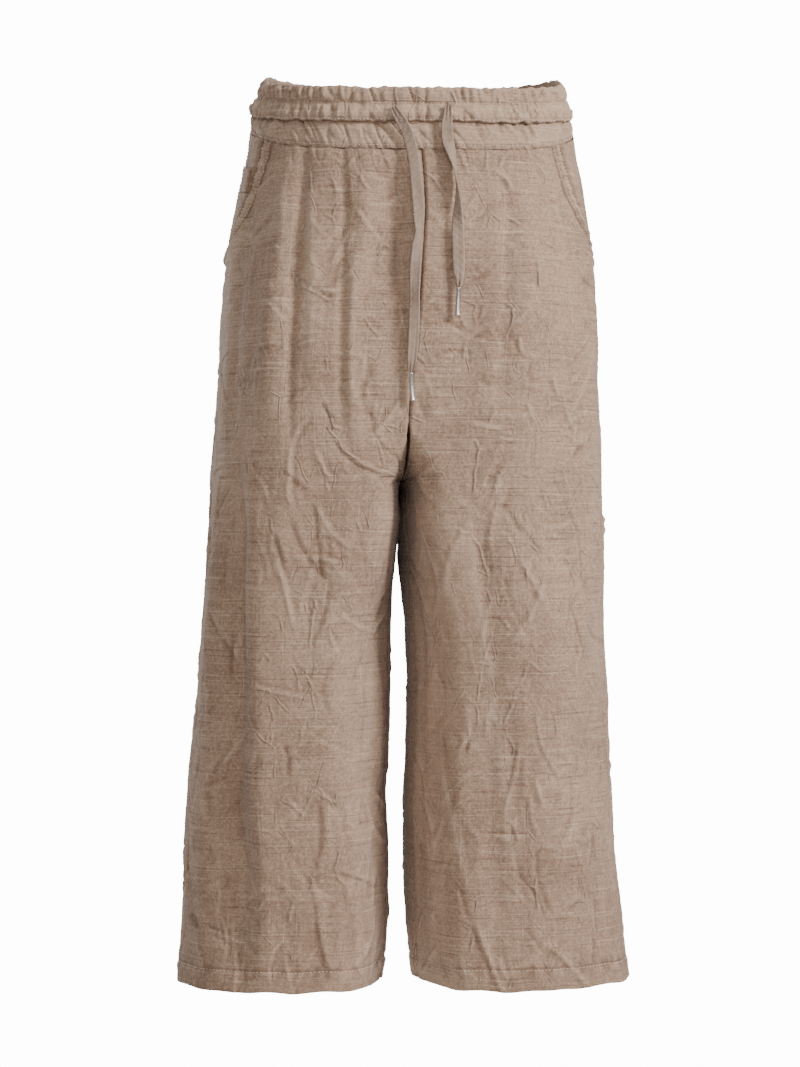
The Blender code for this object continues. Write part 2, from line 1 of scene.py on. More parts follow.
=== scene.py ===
"""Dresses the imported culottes: crumpled linen, tape drawcord ends, nickel tips, stitches, studio and camera.

Units are metres. +Z is up, the front faces -Y and +X is the wearer's left. All cloth follows one surface,
the form, which is given by level sections. A place on it is named by its side, its reach and its height:
reach 0 is the centre front seam or the inseam, 1 is the side seam, and 2 is the centre back seam or the
inseam again.
"""

from __future__ import annotations

import logging
import math
from dataclasses import dataclass, field
from enum import Enum
from itertools import product
from typing import Any

import bmesh
import bpy
import numpy as np
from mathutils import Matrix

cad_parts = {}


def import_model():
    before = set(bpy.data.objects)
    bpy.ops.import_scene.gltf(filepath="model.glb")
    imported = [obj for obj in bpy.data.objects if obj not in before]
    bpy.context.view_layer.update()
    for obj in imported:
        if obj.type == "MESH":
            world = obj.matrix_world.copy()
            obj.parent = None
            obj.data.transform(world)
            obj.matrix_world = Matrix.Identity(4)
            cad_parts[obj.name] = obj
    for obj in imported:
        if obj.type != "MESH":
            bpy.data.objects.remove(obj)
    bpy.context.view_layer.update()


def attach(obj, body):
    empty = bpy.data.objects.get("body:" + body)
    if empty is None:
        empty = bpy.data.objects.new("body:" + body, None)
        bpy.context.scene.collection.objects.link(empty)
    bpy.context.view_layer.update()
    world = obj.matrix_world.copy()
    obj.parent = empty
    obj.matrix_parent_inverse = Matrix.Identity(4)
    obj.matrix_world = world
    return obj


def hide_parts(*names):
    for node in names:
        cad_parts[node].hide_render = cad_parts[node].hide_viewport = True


log = logging.getLogger("culottes")

Array = np.ndarray
Table = dict[str, Array]
Piece = bpy.types.Object
Material = bpy.types.Material
Tree = bpy.types.NodeTree

GAP = 0.0003
SEAM_TURN = 0.0026
SEAM_ALLOWANCE = 0.0030
HEM_WALL = 0.0022
HEM_DEPTH = 0.0185
HEM_Z = -0.8075
TOP_Z = 0.040
CROTCH_Z = -0.345
CROTCH_Y = -0.005
FRONT_TURN_Z = -0.295
BACK_TURN_Z = -0.238
SIDE_Y = 0.004
LEG_INNER_SQUARENESS = 2.5
CROTCH_SQUARENESS = 6.5
ROUNDS_BELOW_CROTCH = 0.16
TORSO_AND_OUTER_SQUARENESS = 2.25
INNER_LEAN = 0.009
UNDER_POWER = 6
DIP_FADES_AT = -0.150
POCKET_WIDTHS = {-1: 0.060, 1: 0.074}
POCKET_LOW = -0.137
POCKET_UNDERLAP = 0.010


def table(names: str, *rows: tuple[float, ...]) -> Table:
    """Turns rows of numbers into one array for each named column.

    Args:
        names: The column names, with spaces between.
        rows: The rows, each as long as the names.

    Returns:
        The columns by name.
    """
    return dict(zip(names.split(), np.array(rows, dtype=float).T))


# How far the cloth reaches at each height: to the wearer's right and left, and to the front and back. The
# middle is where the centre seams run, and the peak is how far out, between the middle and the side, the
# front and back stand furthest forward and back.
BODY = table(
    "z right left middle front back peak",
    (0.040, -0.1280, 0.1330, 0.0000, -0.0990, 0.0960, 0.00),
    (0.028, -0.1345, 0.1385, 0.0000, -0.1010, 0.0980, 0.00),
    (0.019, -0.1395, 0.1405, 0.0000, -0.1025, 0.1000, 0.00),
    (0.008, -0.1450, 0.1450, 0.0000, -0.1045, 0.1030, 0.00),
    (-0.003, -0.1480, 0.1470, 0.0002, -0.1065, 0.1055, 0.00),
    (-0.020, -0.1500, 0.1495, 0.0005, -0.1090, 0.1090, 0.01),
    (-0.045, -0.1530, 0.1525, 0.0008, -0.1120, 0.1140, 0.02),
    (-0.077, -0.1600, 0.1590, 0.0030, -0.1150, 0.1200, 0.05),
    (-0.105, -0.1655, 0.1635, 0.0045, -0.1175, 0.1265, 0.10),
    (-0.133, -0.1710, 0.1675, 0.0030, -0.1200, 0.1335, 0.16),
    (-0.189, -0.1765, 0.1710, -0.0010, -0.1225, 0.1390, 0.27),
    (-0.245, -0.1795, 0.1730, -0.0070, -0.1230, 0.1375, 0.36),
    (-0.295, -0.1825, 0.1740, -0.0103, -0.1215, 0.1330, 0.41),
    (-0.345, -0.1855, 0.1752, -0.0103, -0.1190, 0.1280, 0.42),
    (-0.430, -0.1915, 0.1785, -0.0103, -0.1130, 0.1190, 0.41),
    (-0.486, -0.1950, 0.1800, -0.0103, -0.1090, 0.1140, 0.40),
    (-0.542, -0.2000, 0.1820, -0.0103, -0.1050, 0.1095, 0.40),
    (-0.598, -0.2045, 0.1845, -0.0103, -0.1010, 0.1055, 0.39),
    (-0.654, -0.2090, 0.1880, -0.0103, -0.0970, 0.1015, 0.38),
    (-0.710, -0.2115, 0.1915, -0.0103, -0.0935, 0.0980, 0.37),
    (-0.760, -0.2145, 0.1975, -0.0103, -0.0915, 0.0955, 0.36),
    (-0.8075, -0.2175, 0.2030, -0.0103, -0.0900, 0.0940, 0.36),
)
# The inside of each leg: how far in it reaches, where that is from front to back, and where the inseam lies.
LEG = table(
    "z right left inner_y seam_y",
    (-0.345, -0.0106, -0.0100, -0.005, -0.005),
    (-0.357, -0.0120, -0.0086, 0.002, -0.010),
    (-0.380, -0.0112, -0.0094, 0.010, -0.016),
    (-0.400, -0.0132, -0.0085, 0.015, -0.019),
    (-0.431, -0.0165, -0.0076, 0.018, -0.021),
    (-0.449, -0.0183, -0.0070, 0.020, -0.022),
    (-0.505, -0.0188, -0.0042, 0.020, -0.022),
    (-0.561, -0.0197, -0.0037, 0.020, -0.020),
    (-0.598, -0.0220, -0.0045, 0.020, -0.018),
    (-0.635, -0.0236, -0.0060, 0.020, -0.016),
    (-0.680, -0.0212, -0.0055, 0.018, -0.015),
    (-0.747, -0.0220, -0.0037, 0.016, -0.014),
    (-0.784, -0.0245, -0.0016, 0.014, -0.014),
    (-0.8075, -0.0285, 0.0010, 0.012, -0.014),
)
# The seams round the top lie level at the sides, dip at the front and rise a little at the back.
SEAMS = {
    "top": {"side": 0.0275, "front": 0.0247, "back": 0.0050},
    "casing": {"side": -0.0072, "front": 0.0221, "back": 0.0050},
    "yoke": {"side": -0.0214, "front": 0.0325, "back": 0.0060},
}
# Soft folds: where each begins and ends, how wide it is, and how far it stands in (negative) or out. The
# first 13 are the frame's, and the others deepen them and divide the cloth between them.
FOLDS = table(
    "side reach_top z_top reach_low z_low width height",
    (-1, 0.66, -0.330, 0.555, -0.790, 0.022, -0.0090),
    (-1, 0.51, -0.340, 0.430, -0.780, 0.026, 0.0045),
    (-1, 0.13, -0.050, 0.12, -0.250, 0.018, -0.0040),
    (-1, 0.57, -0.060, 0.52, -0.300, 0.022, 0.0035),
    (-1, 0.16, -0.420, 0.12, -0.740, 0.022, -0.0030),
    (1, 0.24, -0.380, 0.34, -0.770, 0.026, -0.0025),
    (1, 0.44, -0.360, 0.50, -0.750, 0.028, 0.0030),
    (1, 0.20, -0.080, 0.16, -0.280, 0.022, -0.0030),
    (1, 0.80, -0.420, 0.84, -0.750, 0.024, -0.0040),
    (1, 1.36, -0.240, 1.30, -0.740, 0.028, -0.0070),
    (1, 1.62, -0.300, 1.66, -0.750, 0.028, 0.0050),
    (-1, 1.34, -0.260, 1.38, -0.750, 0.028, -0.0070),
    (-1, 1.64, -0.310, 1.60, -0.730, 0.028, 0.0050),
    (-1, 0.650, -0.300, 0.560, -0.820, 0.011, -0.0050),
    (-1, 0.570, -0.320, 0.475, -0.820, 0.013, 0.0050),
    (-1, 0.800, -0.380, 0.720, -0.820, 0.016, 0.0030),
    (-1, 0.490, -0.030, 0.410, -0.330, 0.0045, -0.0032),
    (-1, 0.330, -0.030, 0.220, -0.330, 0.0050, -0.0030),
    (-1, 0.560, -0.040, 0.490, -0.320, 0.0120, 0.0034),
    (-1, 0.400, -0.050, 0.320, -0.300, 0.0080, 0.0016),
    (-1, 0.240, -0.040, 0.190, -0.330, 0.0090, 0.0022),
    (-1, 0.090, -0.040, 0.080, -0.240, 0.0080, -0.0030),
    (-1, 0.730, -0.090, 0.700, -0.330, 0.0100, -0.0026),
    (-1, 0.120, -0.380, 0.060, -0.820, 0.0090, -0.0024),
    (-1, 0.250, -0.380, 0.200, -0.820, 0.0180, 0.0030),
    (1, 0.100, -0.360, 0.130, -0.820, 0.0090, -0.0026),
    (1, 0.180, -0.360, 0.220, -0.820, 0.0090, 0.0024),
    (1, 0.260, -0.340, 0.330, -0.820, 0.0080, -0.0022),
    (1, 0.040, -0.380, 0.050, -0.820, 0.0080, -0.0024),
    (1, 0.620, -0.060, 0.560, -0.300, 0.0100, -0.0016),
    (1, 0.330, -0.040, 0.300, -0.300, 0.0070, -0.0022),
    (1, 0.420, -0.060, 0.380, -0.300, 0.0100, 0.0018),
    (1, 0.740, -0.400, 0.700, -0.820, 0.0130, -0.0018),
    (1, 1.200, -0.100, 1.240, -0.500, 0.0140, -0.0040),
    (1, 1.480, -0.040, 1.520, -0.330, 0.0120, 0.0030),
    (-1, 1.200, -0.090, 1.220, -0.520, 0.0140, -0.0040),
    (-1, 1.500, -0.060, 1.460, -0.360, 0.0120, 0.0030),
    (-1, 1.720, -0.420, 1.780, -0.820, 0.0120, -0.0040),
    (1, 1.740, -0.400, 1.700, -0.820, 0.0120, -0.0040),
)
# The creases that catch the eye on the front: both ends as sideways place and height, how far the middle bows
# to the side, the width of the ridge and its height (negative for a furrow).
FRONT_CREASES = table(
    "x_top z_top x_low z_low bow width height",
    (-0.0970, -0.050, -0.1010, -0.278, 0.003, 0.0060, 0.0016),
    (-0.0560, -0.136, -0.0600, -0.300, -0.004, 0.0050, 0.0014),
    (-0.1200, -0.070, -0.1230, -0.240, 0.002, 0.0050, 0.0010),
    (-0.0300, -0.060, -0.0260, -0.200, 0.004, 0.0060, -0.0012),
    (0.0175, -0.034, 0.0060, -0.058, 0.001, 0.0022, 0.0013),
    (0.0040, -0.110, 0.0200, -0.130, 0.004, 0.0022, 0.0009),
    (0.0310, -0.322, 0.0890, -0.775, 0.006, 0.0055, 0.0012),
    (0.0120, -0.580, 0.0440, -0.722, 0.003, 0.0024, 0.0010),
    (0.0140, -0.474, 0.0240, -0.496, 0.001, 0.0020, 0.0009),
    (0.0820, -0.799, 0.0700, -0.775, 0.001, 0.0030, 0.0012),
    (-0.2040, -0.741, -0.1950, -0.755, 0.001, 0.0030, -0.0022),
    (-0.1900, -0.752, -0.1780, -0.770, 0.001, 0.0024, 0.0012),
    (0.1240, -0.098, 0.1330, -0.120, -0.001, 0.0024, 0.0011),
)


def smooth(value: Any, low: float, high: float) -> Any:
    """Rises from 0 at low to 1 at high in an S-curve.

    Args:
        value: A number or an array.
        low: Where the rise begins.
        high: Where it ends; below low for a fall.

    Returns:
        The share, as the kind of value given.
    """
    share = np.clip((value - low) / (high - low), 0.0, 1.0)
    return share * share * (3.0 - 2.0 * share)


def hump(away: Any, width: float) -> Any:
    """Gives 1 where away is 0, falling smoothly to nothing at about twice the width."""
    return np.exp(-((away / width) ** 2))


def matched(*values: Any) -> list[Array]:
    """Gives numbers and arrays as arrays of floats, all of one shape."""
    return list(np.broadcast_arrays(*(np.asarray(value, float) for value in values)))


def read(columns: Table, name: str, z: float) -> float:
    """Reads a column at a height, on a smooth curve through the rows.

    Args:
        columns: A table with a z column that falls from row to row.
        name: The column.
        z: The height.

    Returns:
        The column's value there.
    """
    heights, values = columns["z"][::-1], columns[name][::-1]
    slopes = np.gradient(values, heights)
    k = int(np.clip(np.searchsorted(heights, z) - 1, 0, len(heights) - 2))
    span = heights[k + 1] - heights[k]
    t = min(max((z - heights[k]) / span, 0.0), 1.0)
    start, end = values[k], values[k + 1]
    cubic = (2 * t**3 - 3 * t**2 + 1) * start + (3 * t**2 - 2 * t**3) * end
    return cubic + span * ((t**3 - 2 * t**2 + t) * slopes[k] + (t**3 - t**2) * slopes[k + 1])


def seam_height(name: str, reach: Any) -> Any:
    """Gives the height of one of the seams round the top.

    Args:
        name: A key of SEAMS.
        reach: One or more reaches.

    Returns:
        The heights.
    """
    seam = SEAMS[name]
    forward = np.cos(np.pi / 2 * np.asarray(reach, dtype=float))
    ahead = seam["side"] - seam["front"] * (1 - (1 - np.clip(forward, 0, 1)) ** 1.5)
    power = 1.5 * seam["front"] / seam["back"]
    behind = seam["side"] + seam["back"] * (1 - (1 + np.clip(forward, -1, 0)) ** power)
    return np.where(forward >= 0, ahead, behind)


def row_height(reach: Any, level: Any) -> Any:
    """Gives the height of a row of a panel, which follows the yoke seam at the top and levels out below.

    Args:
        reach: The reaches.
        level: The row's height at the side seam.

    Returns:
        The heights.
    """
    top = SEAMS["yoke"]["side"]
    return level + (seam_height("yoke", reach) - top) * (1 - smooth(-level, -top, -DIP_FADES_AT))


class Side(Enum):
    """The wearer's two sides, with the sign of their X."""

    RIGHT = -1
    LEFT = 1


@dataclass
class Form:
    """The surface that the cloth follows, sampled once on a fine grid and read between its samples."""

    corner_points: int = 90
    reach_steps: int = 180
    level_step: float = 0.0025
    crotch_levels: int = 40
    levels: Array = field(init=False)
    places: Array = field(init=False)
    widths: Array = field(init=False)

    def __post_init__(self) -> None:
        """Samples the sections of both sides."""
        plain = np.arange(HEM_Z - 0.002, TOP_Z, self.level_step)
        bend = np.sin(np.linspace(0, math.pi / 2, self.crotch_levels))
        turning = FRONT_TURN_Z + (CROTCH_Z - FRONT_TURN_Z) * bend
        below = [CROTCH_Z - 1e-6, CROTCH_Z - 0.0008]
        self.levels = np.unique(np.concatenate([plain, turning, below, [TOP_Z]]))
        reaches = np.linspace(0, 1, self.reach_steps + 1)
        self.places = np.zeros((2, len(self.levels), 2 * self.reach_steps + 1, 2))
        self.widths = np.zeros((2, len(self.levels), 2))
        for index, side in enumerate((-1, 1)):
            for k, z in enumerate(self.levels):
                for half, (line, plain_width) in enumerate(self.section(side, float(z))):
                    steps = np.linalg.norm(np.diff(line, axis=0), axis=1)
                    distance = np.concatenate([[0.0], np.cumsum(steps)])
                    inwards = 1 - reaches if half == 0 else reaches
                    along = inwards * plain_width + (distance[-1] - plain_width) * inwards**UNDER_POWER
                    first = half * self.reach_steps
                    for axis in (0, 1):
                        column = np.interp(along, distance, line[:, axis])
                        self.places[index, k, first : first + self.reach_steps + 1, axis] = column
                    self.widths[index, k, half] = plain_width

    def corner(self, start: tuple, end: tuple, squareness: float, lean: float = 0.0) -> Array:
        """Gives a quarter of a superellipse that leaves start along Y and reaches end along X.

        Args:
            start: Its first point.
            end: Its last point.
            squareness: 2 for an ellipse, more for a squarer corner.
            lean: How far the start's run slants along X.

        Returns:
            Points, one a row.
        """
        angle = np.linspace(0, math.pi / 2, self.corner_points)
        across = 1 - np.abs(np.cos(angle)) ** (2 / squareness)
        along = np.sin(angle) ** (2 / squareness)
        x = start[0] + lean * along + (end[0] - start[0] - lean) * across
        return np.stack([x, start[1] + (end[1] - start[1]) * along], axis=1)

    def section(self, side: int, z: float) -> list[tuple[Array, float]]:
        """Works out the front and back of one side at a height, each from the side seam inwards.

        Args:
            side: 1 for the wearer's left and -1 for the right.
            z: The height.

        Returns:
            For the front and the back, the points and the width without the cloth that turns under.
        """
        name = "left" if side > 0 else "right"
        outer, front, back = (read(BODY, column, z) for column in (name, "front", "back"))
        if z >= CROTCH_Z:
            inner = read(BODY, "middle", z)
            front_start = self.turn_under(z, FRONT_TURN_Z, front)
            back_start = self.turn_under(z, BACK_TURN_Z, back)
        else:
            inner = read(LEG, name, z)
            front_start = back_start = read(LEG, "inner_y", z)
        peak = inner + read(BODY, "peak", z) * (outer - inner)
        lean = side * INNER_LEAN * float(smooth(FRONT_TURN_Z - z, 0.0, FRONT_TURN_Z - CROTCH_Z))
        rounded = float(smooth(CROTCH_Z - z, 0.0, ROUNDS_BELOW_CROTCH))
        squareness = CROTCH_SQUARENESS + rounded * (LEG_INNER_SQUARENESS - CROTCH_SQUARENESS)
        widest = (outer, SIDE_Y)
        outer_front = self.corner(widest, (peak, front), TORSO_AND_OUTER_SQUARENESS)
        outer_back = self.corner(widest, (peak, back), TORSO_AND_OUTER_SQUARENESS)
        inner_front = self.corner((inner, front_start), (peak, front), squareness, lean)[::-1]
        inner_back = self.corner((inner, back_start), (peak, back), squareness)[::-1]
        widths = [
            np.linalg.norm(np.diff(line, axis=0), axis=1).sum() + abs(peak - inner)
            for line in (outer_front, outer_back)
        ]
        front_line = np.concatenate([outer_front, inner_front])
        back_line = np.concatenate([outer_back, inner_back])
        if z < CROTCH_Z:
            front_line, back_line = self.move_inseam(front_line, back_line, read(LEG, "seam_y", z))
        return [(front_line, widths[0]), (back_line, widths[1])]

    @staticmethod
    def turn_under(z: float, turn_z: float, outer_y: float) -> float:
        """Gives the centre seam's Y at height z, on its quarter ellipse from outer_y in to the crotch."""
        share = min(max((turn_z - z) / (turn_z - CROTCH_Z), 0.0), 1.0)
        return outer_y + (CROTCH_Y - outer_y) * (1 - math.sqrt(1 - share * share))

    @staticmethod
    def move_inseam(front: Array, back: Array, seam_y: float) -> tuple[Array, Array]:
        """Hands the part of the front that lies behind seam_y over to the back.

        Args:
            front: The front's points from the side seam inwards.
            back: The back's points from the side seam inwards.
            seam_y: Where the inseam lies.

        Returns:
            The two lines, meeting at the inseam.
        """
        behind = front[:, 1] > seam_y
        behind[: len(front) // 2] = False
        first = int(np.argmax(behind))
        if first == 0:
            return front, back
        before, after = front[first - 1], front[first]
        seam = before + (seam_y - before[1]) / (after[1] - before[1]) * (after - before)
        given = np.concatenate([[seam], front[first:]])[::-1]
        return np.concatenate([front[:first], [seam]]), np.concatenate([back, given])

    def cell(self, z: Array) -> tuple[Array, Array]:
        """Finds where each height lies among the sampled levels.

        Args:
            z: The heights.

        Returns:
            The number of the level below each, and the share of the step above it.
        """
        k = np.clip(np.searchsorted(self.levels, z) - 1, 0, len(self.levels) - 2)
        share = (z - self.levels[k]) / (self.levels[k + 1] - self.levels[k])
        return k, np.clip(share, 0.0, 1.0)

    def at(self, side: Any, reach: Any, z: Any) -> Array:
        """Gives points of the surface.

        Args:
            side: 1 or -1 for each place.
            reach: The reach of each place.
            z: The height of each place.

        Returns:
            The points, in an array of the places' shape with a last axis of 3.
        """
        side, reach, z = matched(side, reach, z)
        index = (side > 0).astype(int)
        k, up = self.cell(z)
        column = np.clip(reach * self.reach_steps, 0, 2 * self.reach_steps - 1e-6)
        j = column.astype(int)
        across = (column - j)[..., None]
        up = up[..., None]
        low = self.places[index, k, j] * (1 - across) + self.places[index, k, j + 1] * across
        high = self.places[index, k + 1, j] * (1 - across) + self.places[index, k + 1, j + 1] * across
        return np.concatenate([low * (1 - up) + high * up, z[..., None]], axis=-1)

    def width(self, side: Any, reach: Any, z: Any) -> Array:
        """Gives the plain width of the front or back of a side at each place.

        Args:
            side: 1 or -1 for each place.
            reach: The reach of each place.
            z: The height of each place.

        Returns:
            The widths, without the cloth that turns under.
        """
        side, reach, z = matched(side, reach, z)
        index, half = (side > 0).astype(int), (reach > 1).astype(int)
        k, up = self.cell(z)
        return self.widths[index, k, half] * (1 - up) + self.widths[index, k + 1, half] * up

    def normal(self, side: Any, reach: Any, z: Any) -> Array:
        """Gives the directions square to the surface, out of the garment.

        Args:
            side: 1 or -1 for each place.
            reach: The reach of each place.
            z: The height of each place.

        Returns:
            Unit vectors, in an array of the places' shape with a last axis of 3.
        """
        side, reach, z = matched(side, reach, z)
        step, rise = 0.012, 0.004
        right = self.at(side, np.clip(reach + step, 0, 2), z)
        left = self.at(side, np.clip(reach - step, 0, 2), z)
        high, low = z + rise, z - rise
        high = np.where((z < CROTCH_Z) & (high >= CROTCH_Z), np.maximum(z, CROTCH_Z - 1e-5), high)
        low = np.where((z >= CROTCH_Z) & (low < CROTCH_Z), CROTCH_Z, low)
        along = right - left
        upward = self.at(side, reach, high) - self.at(side, reach, low)
        flat = np.linalg.norm(upward, axis=-1) < 1e-7
        upward[flat] = (0.0, 0.0, 1.0)
        normal = np.cross(along, upward) * side[..., None]
        return normal / np.maximum(np.linalg.norm(normal, axis=-1, keepdims=True), 1e-12)


@dataclass
class Noise:
    """Smooth gradient noise in three dimensions, from about -1 to 1."""

    seed: int
    order: Array = field(init=False)
    slopes: Array = field(init=False)

    def __post_init__(self) -> None:
        """Draws the directions from the seed."""
        source = np.random.default_rng(self.seed)
        self.order = source.permutation(256)
        slopes = source.normal(size=(256, 3))
        self.slopes = slopes / np.linalg.norm(slopes, axis=1, keepdims=True)

    def at(self, places: Array) -> Array:
        """Gives the noise at places.

        Args:
            places: An array whose last axis is 3.

        Returns:
            The noise, from about -1 to 1, in the shape of the other axes.
        """
        base = np.floor(places).astype(int)
        inside = places - base
        fade = inside**3 * (inside * (inside * 6 - 15) + 10)
        total = np.zeros(places.shape[:-1])
        for corner in product((0, 1), repeat=3):
            cell = (base + np.array(corner)) & 255
            pick = self.order[(self.order[cell[..., 0]] + cell[..., 1]) & 255]
            pick = self.order[(pick + cell[..., 2]) & 255]
            share = np.prod(np.where(np.array(corner) == 1, fade, 1 - fade), axis=-1)
            total += share * (self.slopes[pick] * (inside - np.array(corner))).sum(axis=-1)
        return total * 1.5

    def stretched(self, points: Array, across: float, along: float) -> Array:
        """Gives noise whose grains are across wide and deep, and along tall."""
        return self.at(points / np.array([across, across, along]))

    def ridges(self, points: Array, across: float, along: float, sharpness: float) -> Array:
        """Gives a net of ridges, 1 on their crests, on grains of the same sizes."""
        return np.clip(1 - 2.4 * np.abs(self.stretched(points, across, along)), 0, 1) ** sharpness


@dataclass
class Crumple:
    """The crumpled relief of washed linen: soft swells, a net of creases and single sharp creases."""

    form: Form
    seed: int = 7
    swell: float = 0.0021
    net: float = 0.0005
    fine_net: float = 0.0003
    noise: Noise = field(init=False)
    other: Noise = field(init=False)

    def __post_init__(self) -> None:
        """Makes the two noises."""
        self.noise = Noise(self.seed)
        self.other = Noise(self.seed + 1)

    @staticmethod
    def strokes(s: Array, z: Array, creases: Table) -> Array:
        """Adds up single creases, each a sharp ridge with a shallow trough beside it.

        Args:
            s: How far across the cloth each place is.
            z: The height of each place.
            creases: Columns s, z, length, angle, bow, width and height.

        Returns:
            The height of the relief at each place.
        """
        flat_s, flat_z = s.ravel(), z.ravel()
        total = np.zeros(flat_s.shape)
        for k in range(len(creases["s"])):
            length, width = creases["length"][k], creases["width"][k]
            room = length / 2 + 5 * width
            away_s, away_z = flat_s - creases["s"][k], flat_z - creases["z"][k]
            near = np.nonzero((np.abs(away_s) < room) & (np.abs(away_z) < room))[0]
            if not len(near):
                continue
            turn = creases["angle"][k]
            along = away_s[near] * math.cos(turn) + away_z[near] * math.sin(turn)
            across = away_z[near] * math.cos(turn) - away_s[near] * math.sin(turn)
            share = np.clip(np.abs(2 * along / length), 0, 1)
            across = across - creases["bow"][k] * (1 - share**2)
            ends = smooth(share, 1.0, 0.55)
            ridge = np.exp(0.45 - np.sqrt((across / width) ** 2 + 0.2))
            trough = hump(across - 2.2 * width, 1.7 * width)
            total[near] += creases["height"][k] * ends * (ridge - 0.5 * trough)
        return total.reshape(s.shape)

    @staticmethod
    def between(creases: Table) -> Table:
        """Turns creases given by their two ends into the form that strokes takes."""
        over, up = creases["x_low"] - creases["x_top"], creases["z_low"] - creases["z_top"]
        return {
            "s": (creases["x_low"] + creases["x_top"]) / 2,
            "z": (creases["z_low"] + creases["z_top"]) / 2,
            "length": np.hypot(over, up),
            "angle": np.arctan2(up, over),
            "bow": creases["bow"],
            "width": creases["width"],
            "height": creases["height"],
        }

    def scatter(self, seed: int, count: int, width: float, low: float, high: float) -> Table:
        """Draws the creases of one panel at random.

        Args:
            seed: The seed of the draw.
            count: How many to draw.
            width: The panel's width.
            low: The lowest height.
            high: The highest height.

        Returns:
            Columns that strokes takes.
        """
        source = np.random.default_rng(seed)
        z = source.uniform(low, high, count)
        on_leg = smooth(-z, 0.20, 0.40)
        tilt = source.normal(0.0, 0.55, count)
        level = source.uniform(size=count) > 0.35 + 0.5 * on_leg
        angle = np.where(level, tilt, math.pi / 2 + 0.8 * tilt)
        length = source.lognormal(math.log(0.028), 0.5, count) * (1 + 0.6 * on_leg)
        sign = np.where(source.uniform(size=count) > 0.38, 1.0, -0.8)
        return {
            "s": source.uniform(0.0, width, count),
            "z": z,
            "length": np.clip(length, 0.010, 0.085),
            "angle": angle,
            "bow": source.normal(0.0, 0.09, count) * length,
            "width": source.uniform(0.0010, 0.0021, count),
            "height": sign * 0.0018 * source.uniform(0.35, 1.0, count) ** 2,
        }

    def folds(self, side: Array, reach: Array, z: Array) -> Array:
        """Gives the height of the soft folds.

        Args:
            side: 1 or -1 for each place.
            reach: The reach of each place.
            z: The height of each place.

        Returns:
            The height at each place.
        """
        total = np.zeros(reach.shape)
        width = self.form.width(side, reach, z)
        for row in zip(*FOLDS.values()):
            fold = dict(zip(FOLDS, row))
            here = (side == fold["side"]) & ((reach > 1) == (fold["reach_top"] > 1))
            share = (fold["z_top"] - z) / (fold["z_top"] - fold["z_low"])
            centre = fold["reach_top"] + share * (fold["reach_low"] - fold["reach_top"])
            ends = smooth(share, -0.05, 0.22) * smooth(share, 1.05, 0.75)
            total += here * fold["height"] * ends * hump((reach - centre) * width, fold["width"])
        seams = np.minimum(np.abs(reach - 1), np.minimum(reach, 2 - reach)) * width
        return total * smooth(seams, 0.0, 0.015)

    def gathers(self, points: Array, slant: float) -> Array:
        """Gives upright gathers, about -1.2 to 0.4: puffs with sharp valleys, closer together at the sides.

        Args:
            points: The bare points of the surface.
            slant: How far the gathers lean sideways for each metre down.

        Returns:
            Their height, for a height of about 1.
        """
        leaning = points.copy()
        leaning[..., 0] += slant * points[..., 2]
        puffs = 0.6 * self.other.stretched(leaning, 0.008, 0.030)
        coarse = 1 - np.abs(self.noise.stretched(leaning, 0.0125, 0.050)) * 4.4
        fine = 1 - np.abs(self.other.stretched(leaning, 0.0080, 0.045)) * 3.2
        share = smooth(np.abs(points[..., 0]), 0.040, 0.105)
        valleys = np.clip(coarse, 0, 1) ** 1.6 * (1 - share) + np.clip(fine, 0, 1) ** 1.4 * share
        return puffs - valleys

    def cloth(self, points: Array) -> tuple[Array, Array]:
        """Gives the crumple that has no single creases.

        Args:
            points: The bare points of the surface.

        Returns:
            The soft swells and the net of creases, each as a height.
        """
        aside, raised = self.other.stretched(points, 0.03, 0.03), self.noise.stretched(points, 0.03, 0.03)
        bent = points + 0.006 * np.stack([aside, np.zeros(aside.shape), raised], axis=-1)
        on_leg = smooth(-points[..., 2], 0.20, 0.42)
        swells = self.noise.stretched(points, 0.045, 0.09) + 0.5 * self.other.stretched(points, 0.022, 0.035)
        patchy = 0.35 + 0.65 * smooth(self.other.stretched(points, 0.05, 0.05), -0.3, 0.35)
        short = self.noise.ridges(bent, 0.021, 0.017, 3.0)
        tall = self.other.ridges(bent, 0.017, 0.040, 3.0)
        fine = self.other.ridges(bent, 0.0095, 0.012, 2.0)
        net = patchy * self.net * (short * (1 - 0.6 * on_leg) + tall * (0.35 + 0.65 * on_leg) - 0.25)
        return self.swell * swells, net + self.fine_net * (fine - 0.3) * patchy


def srgb(code: str) -> tuple[float, float, float, float]:
    """Turns an sRGB hex value into linear red, green, blue and alpha.

    Args:
        code: Six hex digits.

    Returns:
        The linear colour.
    """
    shares = [int(code[k : k + 2], 16) / 255 for k in (0, 2, 4)]
    linear = [c / 12.92 if c <= 0.04045 else ((c + 0.055) / 1.055) ** 2.4 for c in shares]
    return (linear[0], linear[1], linear[2], 1.0)


def add(tree: Tree, kind: str, inputs: dict[Any, Any] | None = None, **settings: Any) -> Any:
    """Adds a node with its settings, and sets or links its inputs.

    Args:
        tree: The node tree.
        kind: The node's type name.
        inputs: For each input, by name or number, a value or the output socket to link.
        settings: Attributes of the node.

    Returns:
        The node's outputs.
    """
    node = tree.nodes.new(kind)
    for name, value in settings.items():
        setattr(node, name, value)
    for key, value in (inputs or {}).items():
        socket = node.inputs[key]
        if isinstance(value, bpy.types.NodeSocket):
            tree.links.new(value, socket)
        else:
            socket.default_value = value
    return node.outputs


